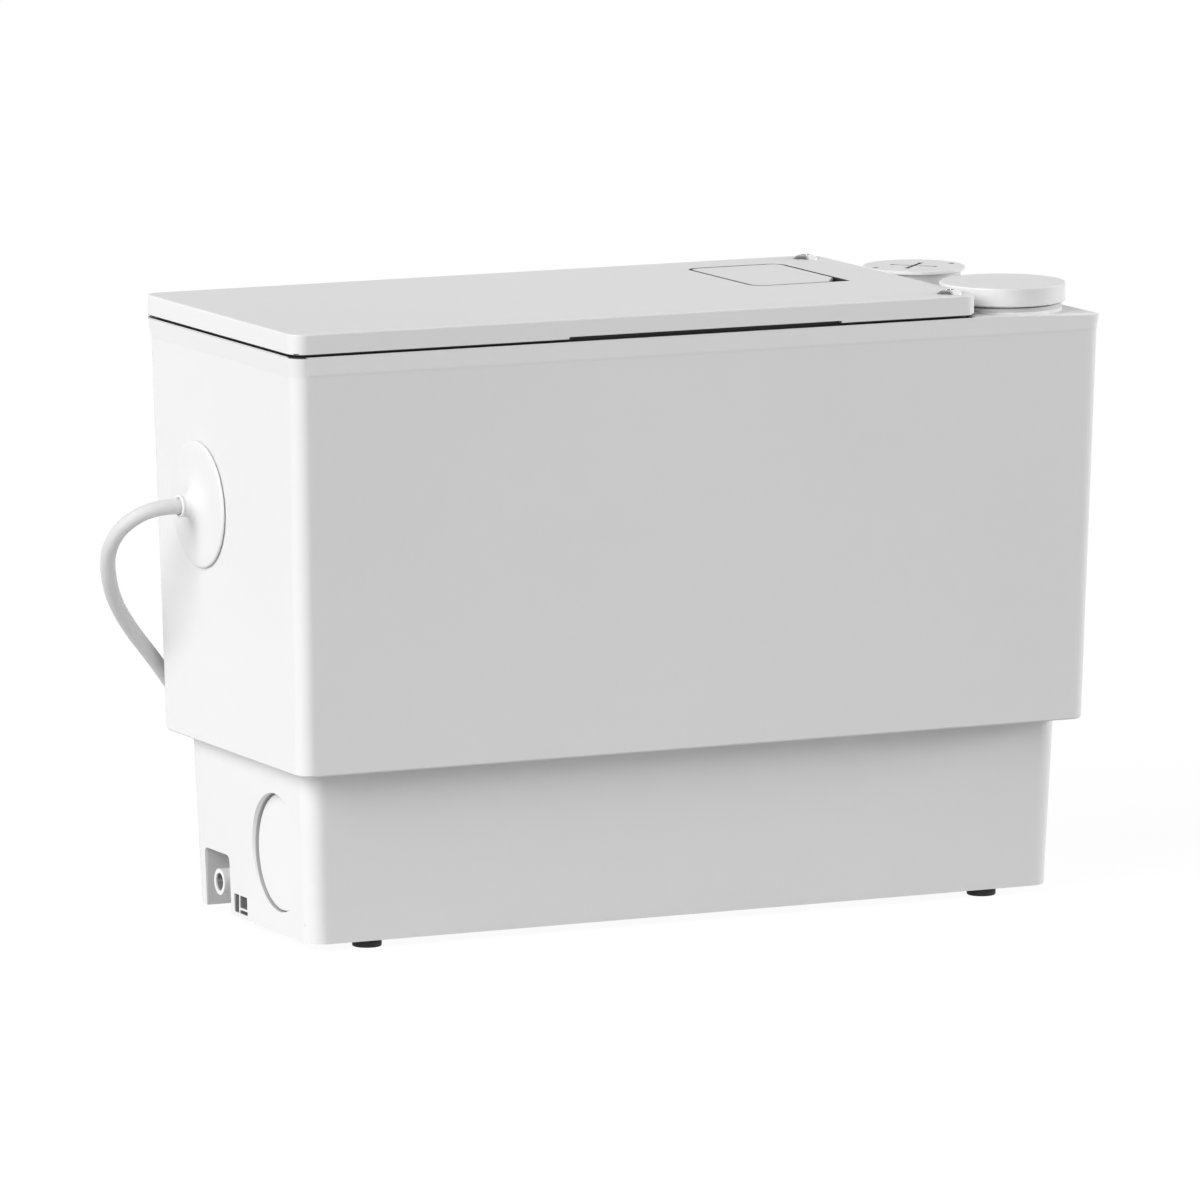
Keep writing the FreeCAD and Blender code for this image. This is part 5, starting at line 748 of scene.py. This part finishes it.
lidScrew = {
    "x": 136.5, "y": 78.3, "seat": 298.0, "length": 24.0, "shank": 2.5, "root": 2.1, "pitch": 1.6,
    "plainLength": 12.0, "tipLength": 2.0, "seatRadius": 4.75, "head": 6.1, "brim": 1.85, "top": 3.9,
    "recess": 2.0, "lobes": 0.12, "recessDepth": 2.3, "steps": 96,
}


def makeLidScrew(size, side):
    head, brim, top, recess = size["head"], size["brim"], size["top"], size["recess"]
    floor, tip = top - size["recessDepth"], size["tipLength"] - size["length"]
    profile = [(0, -size["length"]), (size["shank"] * 0.6, -size["length"])]
    profile += threadPoints(size["shank"], size["root"], tip, -size["plainLength"], size["pitch"])
    profile += [(size["shank"], 0.0), (size["seatRadius"], 0.0), (head - 0.1, brim - 0.25)]
    profile += eased([
        (head - 0.1, brim - 0.25), (head, brim), (head - 0.05, brim + 0.25), (head * 0.8, top - 0.75),
        (head * 0.55, top - 0.12), (recess * 1.15, top),
    ], rounds=3)[1:]
    profile += [(recess, top - 0.1, size["lobes"]), (recess, floor, size["lobes"]),
                (recess * 0.5, floor - 0.3), (0, floor - 0.35)]
    form = turnedForm(profile, size["steps"])
    setAt(form, Vector((size["x"], side * size["y"], size["seat"])), Vector((0, 0, 1)))
    return finishForm("lidScrewFront" if side < 0 else "lidScrewRear", form, "brightSteel", angle=35)


for side, body in ((-1, "lid_screw_front"), (1, "lid_screw_rear")):
    piece = makeLidScrew(lidScrew, side)
    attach(piece, body)
    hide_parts(body)
print("stage: screws")


# Rubber feet with a ringed sole

foot = {
    "radius": 7.2, "height": 4.0, "stem": 3.0, "stemTop": 7.0, "x": 164.95, "front": -58.98, "rear": 56.98,
    "soleRings": [(0, 0.9), (2.2, 0.9), (2.6, 0.2), (2.9, 0.0), (3.8, 0.0), (4.1, 0.5), (4.6, 0.5), (4.9, 0.0)],
    "steps": 72,
}


def makeFeet(size):
    radius, height, stem, top = size["radius"], size["height"], size["stem"], size["stemTop"]
    profile = size["soleRings"] + eased([
        (radius - 1.4, 0.0), (radius - 0.3, 0.0), (radius, 0.9), (radius - 0.15, height - 0.5),
        (radius - 0.5, height),
    ])
    profile += [(stem, height), (stem, top - 0.5), (stem - 0.5, top), (0, top)]
    places = [(x, y, 0.0) for x in (-size["x"], size["x"]) for y in (size["front"], size["rear"])]
    facings = [Vector((0, 0, 1))] * len(places)
    form = turnedForm(profile, size["steps"])
    mesh = setPieces("rubberFootSet", form, places, facings, "hoseRubber", mostTurn=0.0)
    return meshObject("rubberFootSet", mesh, "hoseRubber")


footPiece = makeFeet(foot)
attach(footPiece, "base")
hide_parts("rubber_feet")
print("stage: feet")


# Discharge hose: a grooved rubber hose between two plain cuffs

hose = {
    "corners": [(20, -29, 210), (20, -29, 250), (178, -53, 250), (178, -53, 283)], "outer": 16.5,
    "bore": 13.5, "bend": 23.0, "groovePitch": 4.6, "grooveDepth": 1.3, "cuff": 12.0, "step": 0.7,
    "endTrim": 0.05,  # taken off each end, so that the bore breaks through
}


def makeHoseTree():
    # A tube along a line with rounded bends, grooved between its cuffs and bored through
    tree, given, end = newTree("groovedHose", [
        ("Geometry", "Geometry", None), ("Outer Radius", "Float", 0.0165), ("Bore Radius", "Float", 0.0135),
        ("Bend Radius", "Float", 0.023), ("Groove Pitch", "Float", 0.0046), ("Groove Depth", "Float", 0.0013),
        ("Cuff", "Float", 0.012), ("Step", "Float", 0.0007), ("End Trim", "Float", 0.00005),
        ("Finish", "Material", None)])
    cuff, trim = given["Cuff"], given["End Trim"]
    trimStart, trimEnd = 4, 5  # length sockets of a Trim Curve node
    line = addNode(tree, "GeometryNodeMeshToCurve", {"Mesh": given["Geometry"]})
    rounded = addNode(tree, "GeometryNodeFilletCurve", {
        "Curve": line.outputs["Curve"], "Radius": given["Bend Radius"], "Count": 16}, mode="POLY")
    along = addNode(tree, "GeometryNodeSplineParameter").outputs["Length"]
    total = addNode(tree, "GeometryNodeSplineLength").outputs["Length"]
    shorter = addNode(tree, "GeometryNodeTrimCurve", {
        "Curve": rounded.outputs["Curve"], trimStart: trim, trimEnd: calc(tree, "SUBTRACT", total, trim),
    }, mode="LENGTH")
    fine = addNode(tree, "GeometryNodeResampleCurve", {
        "Curve": shorter.outputs["Curve"], "Length": given["Step"]}, mode="LENGTH")
    ribbed = calc(tree, "SUBTRACT", total, calc(tree, "MULTIPLY", cuff, 2.0))
    count = calc(tree, "ROUND", calc(tree, "DIVIDE", ribbed, given["Groove Pitch"]))
    phase = calc(tree, "DIVIDE", calc(tree, "SUBTRACT", along, cuff), calc(tree, "DIVIDE", ribbed, count))
    wave = calc(tree, "COSINE", calc(tree, "MULTIPLY", phase, 2 * math.pi))
    groove = calc(tree, "MULTIPLY", calc(tree, "SUBTRACT", 1.0, wave), 0.5)
    between = calc(tree, "MULTIPLY", calc(tree, "GREATER_THAN", along, cuff),
                   calc(tree, "LESS_THAN", along, calc(tree, "SUBTRACT", total, cuff)))
    depth = calc(tree, "MULTIPLY", calc(tree, "MULTIPLY", groove, between), given["Groove Depth"])
    circle = addNode(tree, "GeometryNodeCurvePrimitiveCircle", {"Resolution": 56, "Radius": 1.0})
    tubes = [addNode(tree, "GeometryNodeCurveToMesh", {
        "Curve": route.outputs["Curve"], "Profile Curve": circle.outputs["Curve"], "Scale": radius,
        "Fill Caps": True}).outputs["Mesh"]
        for route, radius in ((fine, calc(tree, "SUBTRACT", given["Outer Radius"], depth)),
                              (rounded, given["Bore Radius"]))]
    bored = addNode(tree, "GeometryNodeMeshBoolean", {"Mesh 1": tubes[0], "Mesh 2": tubes[1]},
                    operation="DIFFERENCE", solver="MANIFOLD")
    return endTree(tree, end, bored.outputs["Mesh"], given["Finish"])


def makeHose(size):
    line = bpy.data.meshes.new("hoseLine")
    line.from_pydata([Vector(corner) * mm for corner in size["corners"]], [(0, 1), (1, 2), (2, 3)], [])
    mesh = grownMesh("ribbedHose", makeHoseTree(), line, {
        "Outer Radius": size["outer"] * mm, "Bore Radius": size["bore"] * mm, "Bend Radius": size["bend"] * mm,
        "Groove Pitch": size["groovePitch"] * mm, "Groove Depth": size["grooveDepth"] * mm,
        "Cuff": size["cuff"] * mm, "Step": size["step"] * mm, "End Trim": size["endTrim"] * mm,
        "Finish": finishes["hoseRubber"]})
    form = bmesh.new()
    form.from_mesh(mesh)
    bpy.data.meshes.remove(mesh)
    return finishForm("ribbedHose", form, "hoseRubber", angle=50)


hosePiece = makeHose(hose)
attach(hosePiece, "base")
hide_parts("discharge_hose")
print("stage: discharge hose,", len(hosePiece.data.polygons), "faces")


# Hose clamps: a pressed band with raised ridges, and a worm screw in its housing

clamp = {
    "width": 8.0, "thickness": 0.75, "clearance": 0.05, "ridgePitch": 2.4, "ridgeTall": 0.35,
    "ridgeWide": 0.8, "ridgeLong": 5.0, "ridgeLean": 8.0, "housing": (7.4, 8.6, 5.0), "housingEdge": 0.9,
    "screwHeight": 0.55,  # share of the housing's depth
    "screw": 2.3, "root": 1.95,
    "pitch": 1.3, "screwLength": 11.0, "head": 3.0, "headLength": 3.4, "slot": 0.7, "slotDepth": 1.2,
}
clampPlaces = [  # base point, axis, hose radius
    ((20, -29, 211.5), (0, 0, 1), 16.5), ((178, -53, 273.5), (0, 0, 1), 16.5),
    ((-20, -29, 79.2), (1, 0, 0), 19.0),
]


def makeBandTree():
    # A flat ring round Z, with leaning ridges pressed out of it
    tree, given, end = newTree("pressedBand", [
        ("Geometry", "Geometry", None), ("Radius", "Float", 0.0165), ("Width", "Float", 0.008),
        ("Thickness", "Float", 0.0008), ("Ridge Count", "Int", 40),
        ("Ridge Size", "Vector", (0.0007, 0.0008, 0.005)), ("Ridge Lean", "Float", 0.14),
        ("Finish", "Material", None)])
    radius, thickness = given["Radius"], given["Thickness"]
    middle = calc(tree, "ADD", radius, calc(tree, "MULTIPLY", thickness, 0.5))
    loop = addNode(tree, "GeometryNodeCurvePrimitiveCircle", {"Resolution": 120, "Radius": middle})
    section = addNode(tree, "GeometryNodeCurvePrimitiveQuadrilateral", {
        "Width": thickness, "Height": given["Width"]})
    band = addNode(tree, "GeometryNodeCurveToMesh", {
        "Curve": loop.outputs["Curve"], "Profile Curve": section.outputs["Curve"]})
    seats = addNode(tree, "GeometryNodeCurvePrimitiveCircle", {
        "Resolution": given["Ridge Count"], "Radius": calc(tree, "ADD", radius, thickness)})
    ridge = addNode(tree, "GeometryNodeMeshCube", {"Size": given["Ridge Size"]})
    outward = addNode(tree, "GeometryNodeInputPosition").outputs["Position"]
    ridges = setAlong(tree, seats.outputs["Curve"], ridge.outputs["Mesh"], outward, "X",
                      (1, 0, 0), given["Ridge Lean"])
    join = addNode(tree, "GeometryNodeJoinGeometry")
    for shape in (band.outputs["Mesh"], ridges):
        tree.links.new(shape, join.inputs["Geometry"])
    return endTree(tree, end, join.outputs["Geometry"], given["Finish"])


pressedBand = makeBandTree()


def roundedBlock(size, edge):
    form = bmesh.new()
    bmesh.ops.create_cube(form, size=1)
    form.transform(Matrix.Diagonal((*(part * mm for part in size), 1)))
    bmesh.ops.bevel(form, geom=form.edges[:], offset=edge * mm, segments=3, profile=0.5, affect="EDGES")
    return form


def makeWorm(size):
    # The housing and its screw, with the screw along Y and the band's outside at X = 0
    long, wide, deep = size["housing"]
    form = bmesh.new()
    shell = roundedBlock((deep, long, wide), size["housingEdge"])
    addForm(form, shell, Matrix.Translation((deep / 2 * mm, 0, 0)))
    head, slot, half = size["head"], size["slot"], size["screwLength"] / 2
    top = half + size["headLength"]
    profile = [(0, -half), (size["screw"] - 0.4, -half)]
    profile += threadPoints(size["screw"], size["root"], -half + 0.5, half, size["pitch"])
    profile += [(head, half), (head, top - 0.4), (head - 0.4, top), (slot, top),
                (slot, top - size["slotDepth"]), (0, top - size["slotDepth"])]
    turn = Matrix.Rotation(-math.pi / 2, 4, "X")
    addForm(form, turnedForm(profile, steps=30), Matrix.Translation((deep * size["screwHeight"] * mm, 0, 0)) @ turn)
    return form


def makeClamps(size):
    whole = bmesh.new()
    for base, axis, radius in clampPlaces:
        empty = bpy.data.meshes.new("bandBase")
        band = grownMesh("bandRing", pressedBand, empty, {
            "Radius": (radius + size["clearance"]) * mm, "Width": size["width"] * mm,
            "Thickness": size["thickness"] * mm,
            "Ridge Count": round(2 * math.pi * radius / size["ridgePitch"]),
            "Ridge Size": [size["ridgeTall"] * 2 * mm, size["ridgeWide"] * mm, size["ridgeLong"] * mm],
            "Ridge Lean": math.radians(size["ridgeLean"]), "Finish": finishes["stainless"]})
        axis = Vector(axis)
        across = axis.cross(Vector((0.3, -1, 0.2))).normalized()  # where the worm sits round the hose
        along = axis.cross(across)
        centre = Vector(base) + axis * size["width"] / 2
        turn = Matrix((across, along, axis)).transposed().to_4x4()
        band.transform(Matrix.Translation(centre * mm) @ turn)
        whole.from_mesh(band)
        bpy.data.meshes.remove(band)
        seat = centre + across * (radius + size["thickness"])
        addForm(whole, makeWorm(size), Matrix.Translation(seat * mm) @ turn)
    return finishForm("hoseClampSet", whole, "stainless", angle=30)


clampPiece = makeClamps(clamp)
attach(clampPiece, "base")
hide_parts("hose_clamps")
print("stage: hose clamps,", len(clampPiece.data.polygons), "faces")


# Stage: pale floor, white surround and two soft suns

studio = {
    "floorHalf": 14.0, "floorTones": (0.62, 0.61), "floorGlow": 0.88, "glowStrength": 1.08, "ambient": 0.18,
    "floorDrift": 1.5, "floorRoughness": 0.9, "floorSpecular": 0.1,
    "leftSun": {"power": 3.08, "from": (-0.825, -0.29, 0.475), "spread": 50},
    "rightSun": {"power": 2.3, "from": (0.972, -0.12, 0.167), "spread": 14},
}


def seenDirectly(tree):
    # 1 for rays from the camera, a mirror-like surface or through glass
    rays = addNode(tree, "ShaderNodeLightPath").outputs
    mirrored = calc(tree, "MAXIMUM", rays["Is Camera Ray"], rays["Is Glossy Ray"])
    return calc(tree, "MAXIMUM", mirrored, rays["Is Transmission Ray"])


def makeFloor():
    # Seen directly, the floor glows nearly white and keeps the shadows faint; it lights the object as a grey floor
    material, tree, shader = newMaterial("paleFloor")
    first, second = [(level, level, level, 1) for level in studio["floorTones"]]
    tone = addNode(tree, "ShaderNodeGroup", {
        "Vector": addNode(tree, "ShaderNodeTexCoord").outputs["Object"], "Tone": first, "Second Tone": second,
        "Scale": studio["floorDrift"]}, node_tree=toneDrift)
    setInputs(tree, shader, {
        "Base Color": tone.outputs["Color"], "Roughness": studio["floorRoughness"],
        "Specular IOR Level": studio["floorSpecular"]})
    glow = addNode(tree, "ShaderNodeEmission", {"Strength": studio["glowStrength"]})
    share = calc(tree, "MULTIPLY", seenDirectly(tree), studio["floorGlow"])
    mix = addNode(tree, "ShaderNodeMixShader", {0: share, 1: shader.outputs["BSDF"], 2: glow.outputs["Emission"]})
    tree.links.new(mix.outputs[0], tree.nodes["Material Output"].inputs["Surface"])
    half = studio["floorHalf"]
    corners = [(-half, -half, 0), (half, -half, 0), (half, half, 0), (-half, half, 0)]
    mesh = bpy.data.meshes.new("floor")
    mesh.from_pydata(corners, [], [(0, 1, 2, 3)])
    mesh.materials.append(material)
    floor = bpy.data.objects.new("paleFloor", mesh)
    scene.collection.objects.link(floor)
    return floor


def makeSurround():
    # White where it is seen directly, and a weaker light on everything else
    world = bpy.data.worlds.new("paleSurround")
    world.use_nodes = True
    tree = world.node_tree
    setInputs(tree, tree.nodes["Background"], {
        "Color": (1, 1, 1, 1), "Strength": remap(tree, seenDirectly(tree), 0.0, 1.0, studio["ambient"], 1.0)})
    scene.world = world


def makeSun(name):
    look = studio[name]
    lamp = bpy.data.lights.new(name, "SUN")
    lamp.energy = look["power"]
    lamp.angle = math.radians(look["spread"])
    piece = bpy.data.objects.new(name, lamp)
    piece.rotation_euler = Vector(look["from"]).to_track_quat("Z", "Y").to_euler()
    scene.collection.objects.link(piece)


makeFloor()
makeSurround()
makeSun("leftSun")
makeSun("rightSun")

# The camera fitted to the photograph's edges: millimetres of lens and sensor, metres, and degrees
photoView = {
    "lens": 352.78, "sensor": 36, "farthest": 60,
    "place": (-2.43903, -5.10195, 0.99843), "turn": (81.45, 0, -25.426),
}
cameraData = bpy.data.cameras.new("photoCamera")
cameraData.lens = photoView["lens"]
cameraData.sensor_width = photoView["sensor"]
cameraData.clip_end = photoView["farthest"]
camera = bpy.data.objects.new("photoCamera", cameraData)
camera.location = photoView["place"]
camera.rotation_euler = [math.radians(angle) for angle in photoView["turn"]]
scene.collection.objects.link(camera)
scene.camera = camera
scene.view_settings.view_transform = "Standard"
print("stage: floor, light and camera")
